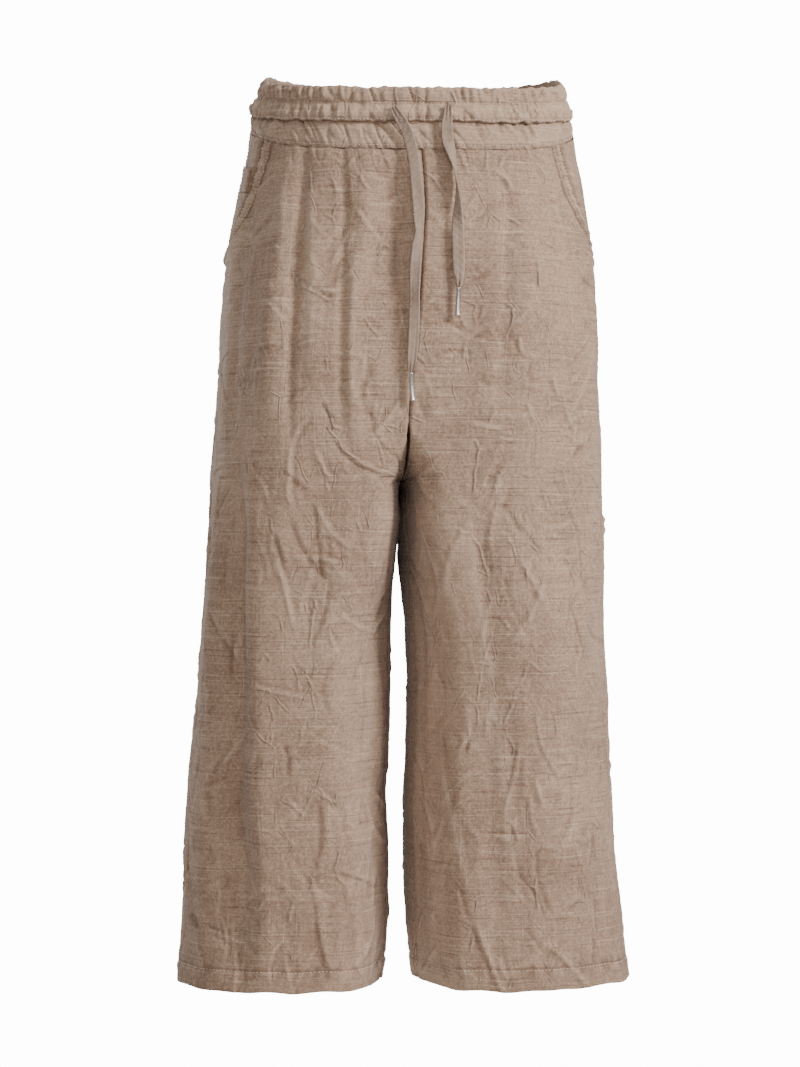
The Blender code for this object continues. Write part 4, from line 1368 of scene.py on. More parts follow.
@dataclass
class WaistCasing(Ring):
    """The gathered elastic waist with the drawcord channel below it, one strip folded over at the top."""

    columns: int = 700
    channel_share: float = 0.46
    inside: float = -0.0034

    def surface(self, side: Array, reach: Array, share: Any, lift: float = 0.0) -> Surface:
        """Works out the gathered outside.

        Args:
            side: 1 or -1 for each place.
            reach: The reach of each place.
            share: How far down from the top edge to the bottom edge each place is.
            lift: How far to move the places out.

        Returns:
            The places.
        """
        side, reach, share = matched(side, reach, share)
        top, low = seam_height("top", reach), seam_height("casing", reach) + GAP / 2
        z = top + share * (low - top)
        base, normal = self.form.at(side, reach, z), self.form.normal(side, reach, z)
        upper = share < self.channel_share
        lower_row = (share - self.channel_share) / (1 - self.channel_share)
        row = np.where(upper, share / self.channel_share, lower_row)
        bulge = np.sin(np.pi * np.clip(row, 0, 1)) ** 0.6 * np.where(upper, 0.0028, 0.0030)
        sunk = np.where(upper, -0.0016, np.where(row < 0.5, -0.0020, 0.0004))
        squeeze = np.clip(np.sin(np.pi * np.clip(0.06 + 0.88 * row, 0, 1)), 0, 1) ** 0.5
        own = base + np.where(upper, 0.0, 0.5)[..., None] * np.array([0.0, 0.0, 1.0])
        gathers = self.crumple.gathers(own, 0.12) * np.where(upper, 0.0031, 0.0029)
        small = 0.0005 * self.crumple.noise.stretched(base, 0.0035, 0.010)
        height = sunk + bulge + gathers * squeeze + small
        points = base + normal * (height + lift)[..., None]
        edge = hump(row, 0.15) * upper - hump(row - 1, 0.12) * ~upper
        points[..., 2] += 0.0017 * edge * self.crumple.other.stretched(base, 0.007, 1.0)
        uv = np.stack([self.round_body(side, reach), z], axis=-1)
        # Painted shadow along the channel stitching and in two lines near the foot of the casing, and a dark
        # patch painted at each buttonhole for the shade in its slot.
        channel = (share - self.channel_share) * (top - low)
        painted_shading = 1.5 * hump(channel - 0.0006, 0.0012) + 0.9 * hump((1 - share) * (top - low), 0.0010)
        painted_shading = painted_shading + 0.9 * hump((1 - share) * (top - low) - 0.0030, 0.0009)
        for hole_side, x, hole_z in ((-1, -0.0238, -0.0165), (1, 0.0252, -0.0147)):
            away = np.hypot((base[..., 0] - x) / 0.0026, (z - hole_z) / 0.0030)
            painted_shading = painted_shading + 3.0 * (side == hole_side) * (reach < 0.5) * hump(away, 1.0)
        # Painted shade in the deepest valleys of the gathers, painted light and shade that follow the gathers
        # and the small bumps, and painted light over the whole casing, stronger on the channel row.
        deepest = np.minimum(gathers * squeeze + 0.0014, 0.0) / 0.0011 + 0.5 * small / 0.0005
        pale = np.where(upper, 0.8, 1.4)
        return Surface(points, normal, deepest + 0.25 * gathers / 0.0016 + pale - painted_shading, uv)

    def build(self, finishes: Finishes) -> Piece:
        """Args:
            finishes: The materials.

        Returns:
            The piece.
        """
        side, reach = self.columns_between(0.0, 4.0, self.columns)
        side, reach = side[:-1], reach[:-1]
        upper, lower = np.linspace(0, self.channel_share, 19), np.linspace(self.channel_share, 1, 21)
        down = np.concatenate([upper, lower[1:]])
        outside = self.surface(side[None, :], reach[None, :], down[:, None])
        up = np.array([1.0, 0.97, 0.8, 0.6, 0.46, 0.3, 0.15, 0.04, 0.0])
        inside = self.surface(side[None, :], reach[None, :], up[:, None])
        back = self.form.at(side[None, :], reach[None, :], inside.points[..., 2])
        depth = self.inside * np.clip(np.sin(np.pi * np.clip(0.02 + 0.96 * up, 0, 1)), 0, 1)[:, None] ** 0.3
        wave = 0.3 * (inside.points - back)
        inner = back + inside.normals * (depth - 0.0010)[..., None] + wave
        surface = Surface(
            np.concatenate([outside.points, inner]),
            np.concatenate([outside.normals, inside.normals]),
            np.concatenate([outside.crest_wear_and_painted_shading, inside.crest_wear_and_painted_shading]),
            np.concatenate([outside.uv, inside.uv + np.array([0.0, 0.2])]),
        )
        made = grid_object("waist_casing_linen", surface, finishes.linen, ring=True, wrap=True)
        place(made, "linen", "waist_casing")
        return made


@dataclass
class Yoke(Ring):
    """The band between the casing and the legs, front or back."""

    front: bool = True
    columns: int = 380
    rows: int = 20
    tuck: float = 0.0028

    def surface(self, side: Array, reach: Array, share: Any, lift: float = 0.0) -> Surface:
        """Works out the band at places.

        Args:
            side: 1 or -1 for each place.
            reach: The reach of each place.
            share: How far down each place is, from 0 inside the casing to 1 at the yoke seam.
            lift: How far to move the places out.

        Returns:
            The places.
        """
        side, reach, share = matched(side, reach, share)
        top, low = seam_height("casing", reach), seam_height("yoke", reach) + GAP / 2
        z = top + self.tuck + share * (low - top - self.tuck)
        base, normal = self.form.at(side, reach, z), self.form.normal(side, reach, z)
        gathers = self.crumple.gathers(base, 0.55) * (0.0027 - 0.0015 * smooth(share, 0.1, 0.9))
        swells, net = self.crumple.cloth(base)
        from_seam = z - low
        along = self.round_body(side, reach)
        places = np.stack([along / 0.006, from_seam / 0.04, np.full(z.shape, 3.0)], axis=-1)
        pulls = self.crumple.other.at(places)
        seam = -0.0012 * hump(from_seam, 0.0012) - 0.0004 * hump(from_seam - 0.0022, 0.0008)
        seam = seam + 0.0009 * pulls * hump(from_seam - 0.003, 0.005)
        tucked = -0.0024 * (1 - smooth(share, 0.10, 0.42))
        height = 0.6 * swells + 0.7 * net + gathers + seam + tucked
        free = smooth(share, 0.0, 0.20)
        height = free * height - 0.0018 * (1 - free)
        points = base + normal * (height + lift)[..., None]
        uv = np.stack([along, z + 0.4], axis=-1)
        # Painted shadow in the seam, along a line just above it and under the casing's edge at the top, with a
        # painted highlight about 6 mm above the seam.
        painted_shading = 1.4 * hump(from_seam, 0.0012) + 1.3 * hump(from_seam - 0.0034, 0.0009)
        painted_shading = painted_shading + 1.8 * hump(top - z, 0.0016) - 0.5 * hump(from_seam - 0.0060, 0.0012)
        # Painted shade in the deepest valleys of the gathers, painted light and shade that follow the gathers
        # and the net of creases, and painted light over the whole band.
        deepest = np.minimum(gathers + 0.0013, 0.0) / 0.0011
        return Surface(points, normal, deepest + (0.5 * gathers + net) / 0.0018 + 1.1 - painted_shading, uv)

    def ends(self) -> tuple[float, float]:
        """Gives where the band begins and ends, in quarter turns."""
        return (3.0, 5.0) if self.front else (1.0, 3.0)

    def build(self, finishes: Finishes) -> Piece:
        """Args:
            finishes: The materials.

        Returns:
            The piece.
        """
        name = f"yoke_{'front' if self.front else 'back'}"
        side, reach = self.columns_between(*self.ends(), self.columns)
        share = np.linspace(0, 1, self.rows + 1)[:, None]
        surface = self.surface(side[None, :], reach[None, :], share)
        made = grid_object(f"{name}_linen", surface, finishes.linen)
        place(made, "linen", name)
        return made


@dataclass
class PocketFacing:
    """The cloth that shows inside a pocket mouth."""

    form: Form
    crumple: Crumple
    panel: LegPanel
    columns: int = 56
    row_step: float = 0.0016
    depth: float = 0.0034

    def surface(self, reach: Any, level: Any, lift: Any = 0.0) -> Surface:
        """Works out the facing at places.

        Args:
            reach: The reach of each place.
            level: The height of each place's row at the side seam.
            lift: How far to move the places out.

        Returns:
            The places.
        """
        reach, level, lift = matched(reach, level, lift)
        side = np.full(reach.shape, self.panel.side.value)
        z = row_height(reach, level)
        width = self.form.width(side, reach, z)
        base, normal = self.form.at(side, reach, z), self.form.normal(side, reach, z)
        beyond = (reach - self.panel.mouth(level)) * width
        from_side = (1 - reach) * width
        under = self.depth * (1 - smooth(beyond, 0.002, 0.014))
        swells, net = self.crumple.cloth(base)
        pucker = self.crumple.noise.at(np.stack([z / 0.0065, from_side / 0.05, side * 9.0], axis=-1))
        height = 0.5 * swells + 0.8 * net - under - 0.0014 * hump(from_side, 0.0012)
        height = height + 0.0006 * pucker * hump(from_side, 0.007)
        points = base + normal * (height + lift)[..., None]
        uv = np.stack([side * (1 - reach) * width + 2.0, z], axis=-1)
        # Painted shade: the facing is darker all over and darkest just inside the mouth's edge, with a painted
        # shadow along the side seam; the tint also follows the net of creases.
        painted_shading = 2.6 * smooth(beyond, 0.0150, 0.0010) + 0.25 + 1.2 * hump(from_side, 0.0013)
        return Surface(points, normal, net / 0.0010 - painted_shading, uv)

    def build(self, finishes: Finishes) -> Piece:
        """Args:
            finishes: The materials.

        Returns:
            The piece.
        """
        name = f"pocket_facing_{self.panel.side.name.lower()}"
        foot = POCKET_LOW + 0.004
        levels = np.append(np.arange(SEAMS["yoke"]["side"], foot, -self.row_step), foot)
        width = self.form.width(self.panel.side.value, 1.0, levels)[:, None]
        start = self.panel.mouth(levels)[:, None] - POCKET_UNDERLAP / width
        stop = 1.0 - GAP / 2 / width
        share = np.linspace(0, 1, self.columns + 1)[None, :]
        surface = self.surface(start + (stop - start) * share, levels[:, None])
        made = grid_object(f"{name}_linen", surface, finishes.linen, flip=self.panel.side is Side.RIGHT)
        place(made, "linen", name)
        f"{self.panel.name}_linen"
        return made


@dataclass
class CoinPocket:
    """A small patch sewn on the right facing, half under the edge of the pocket mouth."""

    facing: PocketFacing
    near: float = 0.024
    far: float = 0.047
    top: float = -0.052
    low: float = -0.078

    def surface(self, away: Any, level: Any, lift: float = 0.0) -> Surface:
        """Works out the patch at places.

        Args:
            away: How far each place is from the side seam.
            level: The height of each place's row at the side seam.
            lift: How far to move the places out.

        Returns:
            The places.
        """
        away, level = matched(away, level)
        width = self.facing.form.width(self.facing.panel.side.value, 1.0, level)
        edge = np.minimum(np.minimum(away - self.near, self.far - away), level - self.low)
        gape = 0.0012 * smooth(level, self.top - 0.012, self.top)
        rounded = 0.0013 * smooth(edge, 0.0, 0.0016)
        made = self.facing.surface(1.0 - away / width, level, 0.0002 + rounded + gape + lift)
        # A painted highlight along the patch's top edge, and painted shade along its sides and foot.
        made.crest_wear_and_painted_shading = made.crest_wear_and_painted_shading + 0.9 * smooth(level, self.top - 0.003, self.top)
        made.crest_wear_and_painted_shading = made.crest_wear_and_painted_shading - 1.3 * smooth(edge, 0.0015, 0.0)
        return made

    def build(self, finishes: Finishes) -> Piece:
        """Args:
            finishes: The materials.

        Returns:
            The piece.
        """
        away = np.linspace(self.far, self.near, 31)[None, :]
        level = np.linspace(self.top, self.low, 33)[:, None]
        made = grid_object("coin_pocket_linen", self.surface(away, level), finishes.linen, flip=True)
        place(made, "linen", "coin_pocket")
        return made


# Each drawcord end: sideways place, height, how far its middle stands off the cloth, turn of the flat tape
# about its own length, and how wide it lies. The same rows as in the frame.
RIGHT_CORD = table(
    "x z clear turn width",
    (-0.0238, -0.0168, 0.0034, 0, 0.0050),
    (-0.0215, -0.0225, 0.0058, 10, 0.0075),
    (-0.0165, -0.0310, 0.0066, 20, 0.0100),
    (-0.0110, -0.0430, 0.0056, 18, 0.0105),
    (-0.0070, -0.0590, 0.0050, 10, 0.0105),
    (-0.0042, -0.0800, 0.0046, 4, 0.0105),
    (-0.0026, -0.1000, 0.0044, 0, 0.0105),
    (-0.0018, -0.1170, 0.0046, -12, 0.0100),
    (-0.0020, -0.1300, 0.0054, -45, 0.0095),
    (-0.0040, -0.1430, 0.0052, -20, 0.0095),
    (-0.0052, -0.1620, 0.0046, 6, 0.0100),
    (-0.0058, -0.1850, 0.0048, 25, 0.0100),
    (-0.0062, -0.2050, 0.0048, 12, 0.0100),
    (-0.0070, -0.2250, 0.0044, 0, 0.0095),
    (-0.0082, -0.2430, 0.0042, 0, 0.0085),
    (-0.0090, -0.2535, 0.0042, 0, 0.0048),
)
LEFT_CORD = table(
    "x z clear turn width",
    (0.0252, -0.0150, 0.0034, 0, 0.0050),
    (0.0245, -0.0240, 0.0056, 8, 0.0080),
    (0.0236, -0.0350, 0.0064, 6, 0.0105),
    (0.0246, -0.0480, 0.0052, -10, 0.0110),
    (0.0280, -0.0600, 0.0062, -40, 0.0108),
    (0.0308, -0.0740, 0.0072, -72, 0.0105),
    (0.0320, -0.0900, 0.0074, -95, 0.0105),
    (0.0326, -0.1050, 0.0070, -125, 0.0105),
    (0.0326, -0.1180, 0.0060, -155, 0.0108),
    (0.0328, -0.1310, 0.0048, -178, 0.0110),
    (0.0332, -0.1480, 0.0044, -180, 0.0110),
    (0.0334, -0.1620, 0.0042, -180, 0.0105),
    (0.0335, -0.1710, 0.0042, -180, 0.0085),
    (0.0334, -0.1780, 0.0042, -180, 0.0048),
)


@dataclass
class Drawcord:
    """One hanging end of the flat tape, out of its buttonhole and down to its metal tip."""

    form: Form
    side: Side
    rings: int = 320
    across: int = 12
    thickness: float = 0.0015
    tape_width: float = 0.0108

    @property
    def rows(self) -> Table:
        """The rows that this end follows."""
        return RIGHT_CORD if self.side is Side.RIGHT else LEFT_CORD

    def front_at(self, x: float, z: float) -> float:
        """Finds the bare front.

        Args:
            x: A place from side to side.
            z: A height.

        Returns:
            The Y of the front there.
        """
        side = 1 if x > read(BODY, "middle", z) else -1
        low, high = 0.0, 0.8
        for _ in range(30):
            half = (low + high) / 2
            if side * (self.form.at(side, half, z)[0] - x) < 0:
                low = half
            else:
                high = half
        return float(self.form.at(side, low, z)[1])

    @staticmethod
    def catmull(values: Array, t: float) -> float:
        """Reads a smooth curve through a list of values.

        Args:
            values: The values, evenly spaced.
            t: How far along them to read, from 0 to 1.

        Returns:
            The curve's value.
        """
        spans = len(values) - 1
        k = min(int(t * spans), spans - 1)
        u = t * spans - k
        before, start, end, after = (values[min(max(k + j, 0), spans)] for j in (-1, 0, 1, 2))
        cubic = 2 * before - 5 * start + 4 * end - after + u * (3 * (start - end) + after - before)
        return start + 0.5 * u * (end - before + u * cubic)

    def route(self) -> Table:
        """Works out the way that the tape takes.

        Returns:
            Columns x, y, z, clear, turn and width, with a value for each ring.
        """
        shares = np.linspace(0, 1, self.rings)
        lanes = {}
        for name, column in self.rows.items():
            lanes[name] = np.array([self.catmull(column, share) for share in shares])
        lanes["y"] = np.array([self.front_at(x, z) for x, z in zip(lanes["x"], lanes["z"])]) - lanes["clear"]
        return lanes

    def build(self, finishes: Finishes, tip: Piece) -> Piece:
        """Args:
            finishes: The materials.
            tip: The metal tip on its end; not used.

        Returns:
            The tape.
        """
        lanes = self.route()
        middle = np.stack([lanes["x"], lanes["y"], lanes["z"]], axis=1)
        along = np.gradient(middle, axis=0)
        along /= np.linalg.norm(along, axis=1, keepdims=True)
        across = np.cross(along, (0.0, 1.0, 0.0))
        across /= np.linalg.norm(across, axis=1, keepdims=True)
        deep = np.cross(along, across)
        turn = np.radians(lanes["turn"])[:, None]
        wide = across * np.cos(turn) + deep * np.sin(turn)
        flat = -across * np.sin(turn) + deep * np.cos(turn)
        distance = np.concatenate([[0.0], np.cumsum(np.linalg.norm(np.diff(middle, axis=0), axis=1))])

        # Round the tape: over its face from one edge to the other, and back under it. Where it lies narrower
        # than it is, it bunches into lengthwise folds.
        share = np.linspace(-1, 1, self.across + 1)
        edge = np.sqrt(np.clip(1 - np.abs(share) ** 8, 0, 1))
        u = np.concatenate([share, share[-2:0:-1]])
        lift = np.concatenate([edge, -edge[-2:0:-1]])
        bunched = np.clip(1 - lanes["width"] / self.tape_width, 0, 1)[:, None]
        cup = 0.0022 * bunched * np.cos(2.3 * np.pi * u)[None, :]
        cup = cup + 0.0004 * np.sin(distance / 0.011)[:, None] * u[None, :] ** 2
        groove = -0.00018 * hump(u, 0.10) * np.sign(lift)
        ripple = 0.00012 * np.sin(distance[:, None] * 900 + 5 * u[None, :])
        half = (lanes["width"] / 2)[:, None]
        height = lift[None, :] * self.thickness / 2 + groove[None, :] + cup + ripple
        points = middle[:, None, :] + wide[:, None, :] * (half * u)[..., None]
        points = points + flat[:, None, :] * height[..., None]
        uv = np.stack(np.broadcast_arrays(distance[:, None], (u * self.tape_width / 2)[None, :]), axis=-1)
        zero = np.zeros(points.shape[:2])
        name = f"drawcord_{self.side.name.lower()}"
        made = grid_object(f"{name}_tape", Surface(points, points, zero, uv), finishes.tape)
        self.close(made, points.shape[1])
        place(made, "tape", name)
        log.info("%s: %.3f m long", name, distance[-1])
        return made

    @staticmethod
    def close(made: Piece, columns: int) -> None:
        """Joins the tape's last column to its first, caps its two ends and turns its faces out.

        Args:
            made: The tape.
            columns: How many points there are round it.
        """
        work = bmesh.new()
        work.from_mesh(made.data)
        work.verts.ensure_lookup_table()
        uv = work.loops.layers.uv.active
        rows = len(work.verts) // columns
        vertex = work.verts
        for row in range(rows - 1):
            a, b = row * columns, (row + 1) * columns
            face = work.faces.new((vertex[a + columns - 1], vertex[b + columns - 1], vertex[b], vertex[a]))
            face.smooth = True
            for loop in face.loops:
                loop[uv].uv = (0.001 * row, -0.0054)
        for first in (0, (rows - 1) * columns):
            work.faces.new([vertex[first + k] for k in range(columns)])
        bmesh.ops.recalc_face_normals(work, faces=work.faces)
        work.to_mesh(made.data)
        work.free()


@dataclass
class Aglet:
    """The nickel tip of a drawcord end: a tube with a rolled mouth at the bottom."""

    side: Side
    length: float = 0.0255
    radius: float = 0.0021
    sides: int = 40
    gap: float = 0.0003

    def build(self, finishes: Finishes, top: Array) -> Piece:
        """Makes the tip below the end of its tape.

        Args:
            finishes: The materials.
            top: The end of the tape's middle.

        Returns:
            The tip.
        """
        profile = table(
            "down radius",
            (0.0000, 0.0000),
            (0.0000, 0.0013),
            (0.0001, 0.0018),
            (0.0004, self.radius),
            (0.0010, self.radius + 0.0001),
            (0.0016, self.radius),
            (self.length - 0.0019, self.radius),
            (self.length - 0.0014, self.radius + 0.00012),
            (self.length - 0.0008, self.radius + 0.00022),
            (self.length - 0.0003, self.radius + 0.0001),
            (self.length, self.radius - 0.0003),
            (self.length - 0.0001, self.radius - 0.0006),
            (self.length - 0.0006, self.radius - 0.0009),
            (self.length - 0.0014, 0.0006),
            (self.length - 0.0015, 0.0000),
        )
        lean = 0.06 if self.side is Side.RIGHT else -0.05
        down = np.array([lean, 0.0, -1.0])
        down /= np.linalg.norm(down)
        ahead = np.array([0.0, -1.0, 0.0])
        beside = np.cross(down, ahead)
        angle = np.linspace(0, 2 * math.pi, self.sides, endpoint=False)[None, :, None]
        circle = ahead * np.cos(angle) + beside * np.sin(angle)
        start = top + np.array([0.0, 0.0, -self.gap])
        points = start + profile["down"][:, None, None] * down + profile["radius"][:, None, None] * circle
        uv = np.stack(np.broadcast_arrays(angle[..., 0] * self.radius, profile["down"][:, None]), axis=-1)
        name = f"aglet_{self.side.name.lower()}"
        zero = np.zeros(points.shape[:2])
        surface = Surface(points, points, zero, uv)
        made = grid_object(f"{name}_nickel", surface, finishes.nickel, flip=True, ring=True)
        place(made, "nickel", name)
        return made


@dataclass
class Stitching:
    """Lays stitches along lines with Geometry Nodes, one mesh for each group of lines."""

    finishes: Finishes
    thickness: float = 0.00085
    tree: Tree = field(init=False)

    def __post_init__(self) -> None:
        """Builds the tree."""
        self.tree = self.make_tree()

    @staticmethod
    def make_tree() -> Tree:
        """Builds the tree that lays one bead of thread at each step along its lines.

        Returns:
            The tree, whose lines carry the stitch's direction and the cloth's in two attributes.
        """
        tree = bpy.data.node_groups.new("stitches_along_lines", "GeometryNodeTree")
        face = tree.interface
        face.new_socket("Lines", in_out="INPUT", socket_type="NodeSocketGeometry")
        for name in ("Pitch", "Stitch Length", "Thread Thickness", "Unevenness"):
            face.new_socket(name, in_out="INPUT", socket_type="NodeSocketFloat")
        face.new_socket("Seed", in_out="INPUT", socket_type="NodeSocketInt")
        face.new_socket("Thread", in_out="INPUT", socket_type="NodeSocketMaterial")
        face.new_socket("Stitches", in_out="OUTPUT", socket_type="NodeSocketGeometry")
        given = add(tree, "NodeGroupInput")
        curve = add(tree, "GeometryNodeMeshToCurve", {"Mesh": given["Lines"]})[0]
        run = {"Curve": curve, "Length": given["Pitch"]}
        steps = add(tree, "GeometryNodeResampleCurve", run, mode="LENGTH")[0]
        ball = {"Segments": 6, "Rings": 4, "Radius": 0.5}
        bead = add(tree, "GeometryNodeMeshUVSphere", ball)["Mesh"]
        sizes = {0: given["Stitch Length"], 1: given["Thread Thickness"], 2: given["Thread Thickness"]}
        size = add(tree, "ShaderNodeCombineXYZ", sizes)[0]
        shaped = add(tree, "GeometryNodeTransform", {"Geometry": bead, "Scale": size})[0]
        along, out = (
            add(tree, "GeometryNodeInputNamedAttribute", {"Name": name}, data_type="FLOAT_VECTOR")[0]
            for name in ("along", "out")
        )
        first = add(tree, "FunctionNodeAlignRotationToVector", {"Vector": along}, axis="X")[0]
        tilt = {"Rotation": first, "Vector": out}
        turn = add(tree, "FunctionNodeAlignRotationToVector", tilt, axis="Z", pivot_axis="X")[0]
        low = add(tree, "ShaderNodeMath", {0: 1.0, 1: given["Unevenness"]}, operation="SUBTRACT")[0]
        spread = {2: low, 3: 1.0, "Seed": given["Seed"]}
        draw = add(tree, "FunctionNodeRandomValue", spread, data_type="FLOAT")
        each = {"Points": steps, "Instance": shaped, "Rotation": turn, "Scale": draw[1]}
        laid = add(tree, "GeometryNodeInstanceOnPoints", each)[0]
        real = add(tree, "GeometryNodeRealizeInstances", {"Geometry": laid})[0]
        dress = {"Geometry": real, "Material": given["Thread"]}
        dressed = add(tree, "GeometryNodeSetMaterial", dress)[0]
        add(tree, "NodeGroupOutput", {0: dressed})
        return tree

    def lay(
        self, name: str, lines: list[Surface], pitch: float, stitch: float, seed: int, radial: bool = False
    ) -> None:
        """Makes one piece of stitches.

        Args:
            name: The piece's name.
            lines: Runs of places on the cloth.
            pitch: From the start of one stitch to the next.
            stitch: The length of a stitch.
            seed: The seed of its unevenness.
            radial: Whether the stitches stand across the lines, as round a buttonhole.
        """
        points, edges, alongs, outs = [], [], [], []
        for line in lines:
            first = len(points)
            run = np.gradient(line.points, axis=0)
            run /= np.maximum(np.linalg.norm(run, axis=1, keepdims=True), 1e-9)
            if radial:
                run = np.cross(run, line.normals)
            points.extend(line.points.tolist())
            edges.extend((first + k, first + k + 1) for k in range(len(line.points) - 1))
            alongs.extend(run.tolist())
            outs.extend(line.normals.tolist())
        mesh = bpy.data.meshes.new(f"{name}_lines")
        mesh.from_pydata(points, edges, [])
        for label, values in (("along", alongs), ("out", outs)):
            data = mesh.attributes.new(label, "FLOAT_VECTOR", "POINT").data
            data.foreach_set("vector", np.array(values, dtype=np.float32).ravel())
        guide = bpy.data.objects.new(f"{name}_lines", mesh)
        bpy.context.scene.collection.objects.link(guide)
        modifier = guide.modifiers.new("stitches", "NODES")
        modifier.node_group = self.tree
        wanted = {
            "Pitch": pitch,
            "Stitch Length": stitch,
            "Thread Thickness": self.thickness,
            "Unevenness": 0.2,
            "Seed": seed,
            "Thread": self.finishes.thread,
        }
        for socket in self.tree.interface.items_tree:
            if socket.in_out == "INPUT" and socket.name in wanted:
                modifier[socket.identifier] = wanted[socket.name]
        graph = bpy.context.evaluated_depsgraph_get()
        made_mesh = bpy.data.meshes.new_from_object(guide.evaluated_get(graph))
        bpy.data.objects.remove(guide)
        made_mesh.name = name
        for label in ("along", "out"):
            if label in made_mesh.attributes:
                made_mesh.attributes.remove(made_mesh.attributes[label])
        made_mesh.shade_smooth()
        made = bpy.data.objects.new(name, made_mesh)
        bpy.context.scene.collection.objects.link(made)
        place(made, "linen")
        log.info("%s: %d faces", name, len(made_mesh.polygons))


@dataclass
class Sewing:
    """Finds where each line of stitches runs on the pieces."""

    stitching: Stitching
    casing: WaistCasing
    yokes: list[Yoke]
    panels: list[LegPanel]
    facings: list[PocketFacing]
    coin: CoinPocket
    lift: float = 0.0001

    def hems(self) -> list[Surface]:
        """Runs round both hems, just above the inner fold.

        Returns:
            The lines.
        """
        level = HEM_Z + HEM_DEPTH
        lines = []
        for panel in self.panels:
            first = 0.002 if panel.front else 1.002
            lines.append(panel.surface(np.linspace(first, first + 0.996, 500), level, self.lift))
        return lines

    def waist(self) -> list[Surface]:
        """Runs along the channel and along the foot of the casing.

        Returns:
            The lines.
        """
        side, reach = self.casing.columns_between(0.0, 4.0, 1400)
        shares = (self.casing.channel_share, 0.965)
        return [self.casing.surface(side, reach, share, self.lift) for share in shares]

    def yoke_seams(self) -> list[Surface]:
        """Runs along both yokes, close above the seam.

        Returns:
            The lines.
        """
        lines = []
        for yoke in self.yokes:
            side, reach = yoke.columns_between(*yoke.ends(), 700)
            lines.append(yoke.surface(side, reach, 0.90, self.lift))
        return lines

    def pockets(self) -> list[Surface]:
        """Runs down the band of each pocket mouth and along its edge.

        Returns:
            The lines.
        """
        lines = []
        for panel in self.panels:
            if not panel.front:
                continue
            for inset, low in ((0.0068, POCKET_LOW - 0.004), (0.0016, POCKET_LOW + 0.002)):
                level = np.linspace(SEAMS["yoke"]["side"] - 0.001, low, 200)
                width = self.casing.form.width(panel.side.value, 0.5, level)
                lines.append(panel.surface(panel.mouth(level) - inset / width, level, self.lift))
        return lines

    def mock_fly(self) -> list[Surface]:
        """Runs beside the centre front seam for the first 55 mm, and across its foot.

        Returns:
            The lines.
        """
        panel = next(p for p in self.panels if p.front and p.side is Side.RIGHT)
        level = np.linspace(-0.024, -0.062, 90)
        lines = [panel.surface(0.0034 / 0.20, level, self.lift)]
        lines.append(panel.surface(np.linspace(0.002, 0.030, 12), -0.0625, self.lift))
        return lines

    def facing_edges(self) -> list[Surface]:
        """Runs beside the side seam on each facing, and round the coin pocket.

        Returns:
            The lines.
        """
        lines = []
        for facing in self.facings:
            level = np.linspace(-0.024, POCKET_LOW + 0.012, 150)
            width = self.casing.form.width(facing.panel.side.value, 1.0, level)
            lines.append(facing.surface(1.0 - 0.006 / width, level, self.lift))
        coin = self.coin
        around_far = np.full(20, coin.near + 0.0022)
        lines.append(coin.surface(around_far, np.linspace(coin.top, coin.low + 0.002, 20), self.lift))
        across = np.linspace(coin.near + 0.0022, coin.far - 0.002, 20)
        lines.append(coin.surface(across, np.full(20, coin.low + 0.0022), self.lift))
        lines.append(coin.surface(across, np.full(20, coin.top - 0.005), self.lift))
        return lines

    def buttonholes(self) -> list[Surface]:
        """Runs round the slot that each drawcord end comes out of.

        Returns:
            The lines.
        """
        lines = []
        form = self.casing.form
        for side, x in ((-1, -0.0238), (1, 0.0252)):
            angle = np.linspace(0, 2 * math.pi, 60)
            across = x + 0.0026 * np.cos(angle)
            share = 0.73 - 0.16 * np.sin(angle)
            width = form.width(side, 0.1, -0.017)
            reach = np.abs(across) / width
            lines.append(self.casing.surface(np.full(60, side), reach, share, 0.0002))
        return lines

    def build(self) -> None:
        """Makes all the stitches."""
        kinds = (
            ("hem", self.hems(), 0.0036, 0.0027),
            ("waist", self.waist(), 0.0034, 0.0024),
            ("yoke", self.yoke_seams(), 0.0034, 0.0025),
            ("pocket", self.pockets(), 0.0034, 0.0025),
            ("mock_fly", self.mock_fly(), 0.0032, 0.0022),
            ("facing", self.facing_edges(), 0.0034, 0.0025),
            ("buttonhole", self.buttonholes(), 0.0007, 0.0026),
        )
        for seed, (kind, lines, pitch, stitch) in enumerate(kinds, 1):
            self.stitching.lay(f"{kind}_stitches", lines, pitch, stitch, seed, radial=kind == "buttonhole")


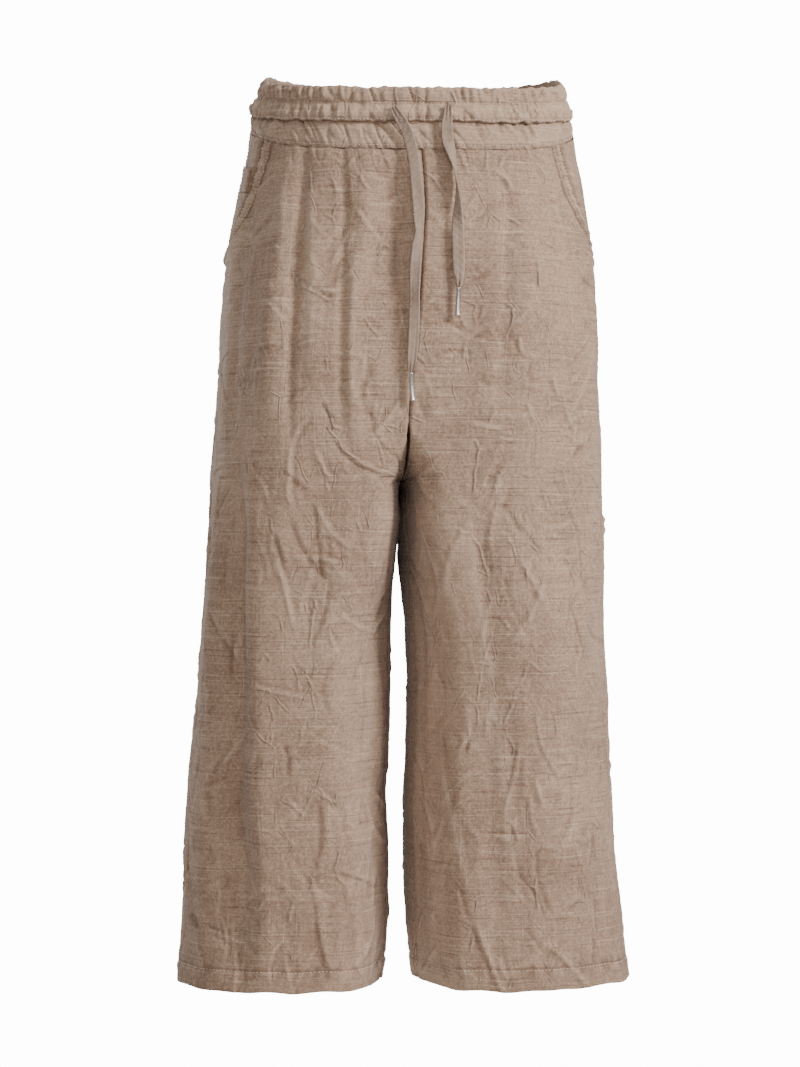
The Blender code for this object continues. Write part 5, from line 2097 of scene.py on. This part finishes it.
@dataclass
class Studio:
    """A white floor, soft light from the wearer's left and a level camera in front."""

    camera_distance: float = 2.5
    camera_turn: float = -3.5
    camera_height: float = -0.396
    camera_aside: float = -0.011
    lens: float = 90.7
    floor_z: float = -1.06
    floor_radius: float = 0.62
    fill: float = 0.43
    backdrop: float = 14.0

    def build(self) -> None:
        """Makes the floor, the world, the lamps and the camera."""
        mesh = bpy.data.meshes.new("studio_floor")
        angles = np.linspace(0, 2 * math.pi, 96, endpoint=False)
        wide = self.floor_radius
        rim = [(wide * math.cos(angle), wide * math.sin(angle), self.floor_z) for angle in angles]
        mesh.from_pydata(rim, [], [tuple(range(len(rim)))])
        mesh.materials.append(StudioFinish().material())
        floor = bpy.data.objects.new("studio_floor", mesh)
        bpy.context.scene.collection.objects.link(floor)

        world = bpy.data.worlds.new("studio_world")
        world.use_nodes = True
        tree = world.node_tree
        fill = tree.nodes["Background"]
        fill.inputs["Color"].default_value = (1.0, 0.98, 0.96, 1.0)
        fill.inputs["Strength"].default_value = self.fill
        seen = add(tree, "ShaderNodeBackground", {"Color": (1.0, 1.0, 1.0, 1.0), "Strength": self.backdrop})
        rays = add(tree, "ShaderNodeLightPath")
        ways = {0: rays["Is Camera Ray"], 1: fill.outputs[0], 2: seen[0]}
        choice = add(tree, "ShaderNodeMixShader", ways)[0]
        tree.links.new(choice, tree.nodes["World Output"].inputs["Surface"])
        bpy.context.scene.world = world

        self.lamp("key", (2.1, -1.5, 1.0), 0.8, 112.0)
        self.lamp("front", (-0.2, -2.8, 0.6), 1.4, 26.0)
        self.lamp("back", (-1.6, 2.2, 0.6), 1.4, 40.0)

        turn = math.radians(self.camera_turn)
        ahead = np.array([-math.sin(turn), math.cos(turn), 0.0])
        right = np.array([math.cos(turn), math.sin(turn), 0.0])
        target = self.camera_aside * right + np.array([0.0, 0.0, self.camera_height])
        data = bpy.data.cameras.new("camera")
        data.lens = self.lens
        data.sensor_width = 36.0
        data.sensor_fit = "AUTO"
        camera = bpy.data.objects.new("camera", data)
        camera.location = target - self.camera_distance * ahead
        camera.rotation_euler = (math.pi / 2, 0.0, turn)
        bpy.context.scene.collection.objects.link(camera)
        bpy.context.scene.camera = camera

    def lamp(self, name: str, place_at: tuple[float, float, float], size: float, power: float) -> None:
        """Adds a square area lamp that points at the middle of the garment.

        Args:
            name: The lamp's name.
            place_at: Where it stands.
            size: The length of its side.
            power: Its power in watts.
        """
        data = bpy.data.lights.new(name, "AREA")
        data.size = size
        data.energy = power
        lamp = bpy.data.objects.new(name, data)
        aim = np.array([0.0, 0.0, self.camera_height]) - np.array(place_at)
        aim /= np.linalg.norm(aim)
        lamp.location = place_at
        lamp.rotation_euler = (math.acos(-aim[2]), 0.0, math.atan2(aim[1], aim[0]) - math.pi / 2)
        bpy.context.scene.collection.objects.link(lamp)


def main() -> None:
    """Builds the garment piece by piece around the frame."""
    logging.basicConfig(level=logging.INFO, format="%(name)s: %(message)s")
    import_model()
    Studio().build()
    finishes = Finishes()
    form = Form()
    crumple = Crumple(form)

    for side in Side:
        cord = Drawcord(form, side)
        lanes = cord.route()
        end = np.array([lanes["x"][-1], lanes["y"][-1], lanes["z"][-1]])
        cord.build(finishes, Aglet(side).build(finishes, end))

    casing = WaistCasing(form, crumple)
    yokes = [Yoke(form, crumple, front=True), Yoke(form, crumple, front=False)]
    panels = [LegPanel(form, crumple, side, front) for side in Side for front in (True, False)]
    facings = [PocketFacing(form, crumple, panel) for panel in panels if panel.front]
    coin = CoinPocket(next(f for f in facings if f.panel.side is Side.RIGHT))
    for piece in (casing, *yokes, *panels, *facings, coin):
        piece.build(finishes)
    Sewing(Stitching(finishes), casing, yokes, panels, facings, coin).build()


if __name__ == "__main__":
    main()
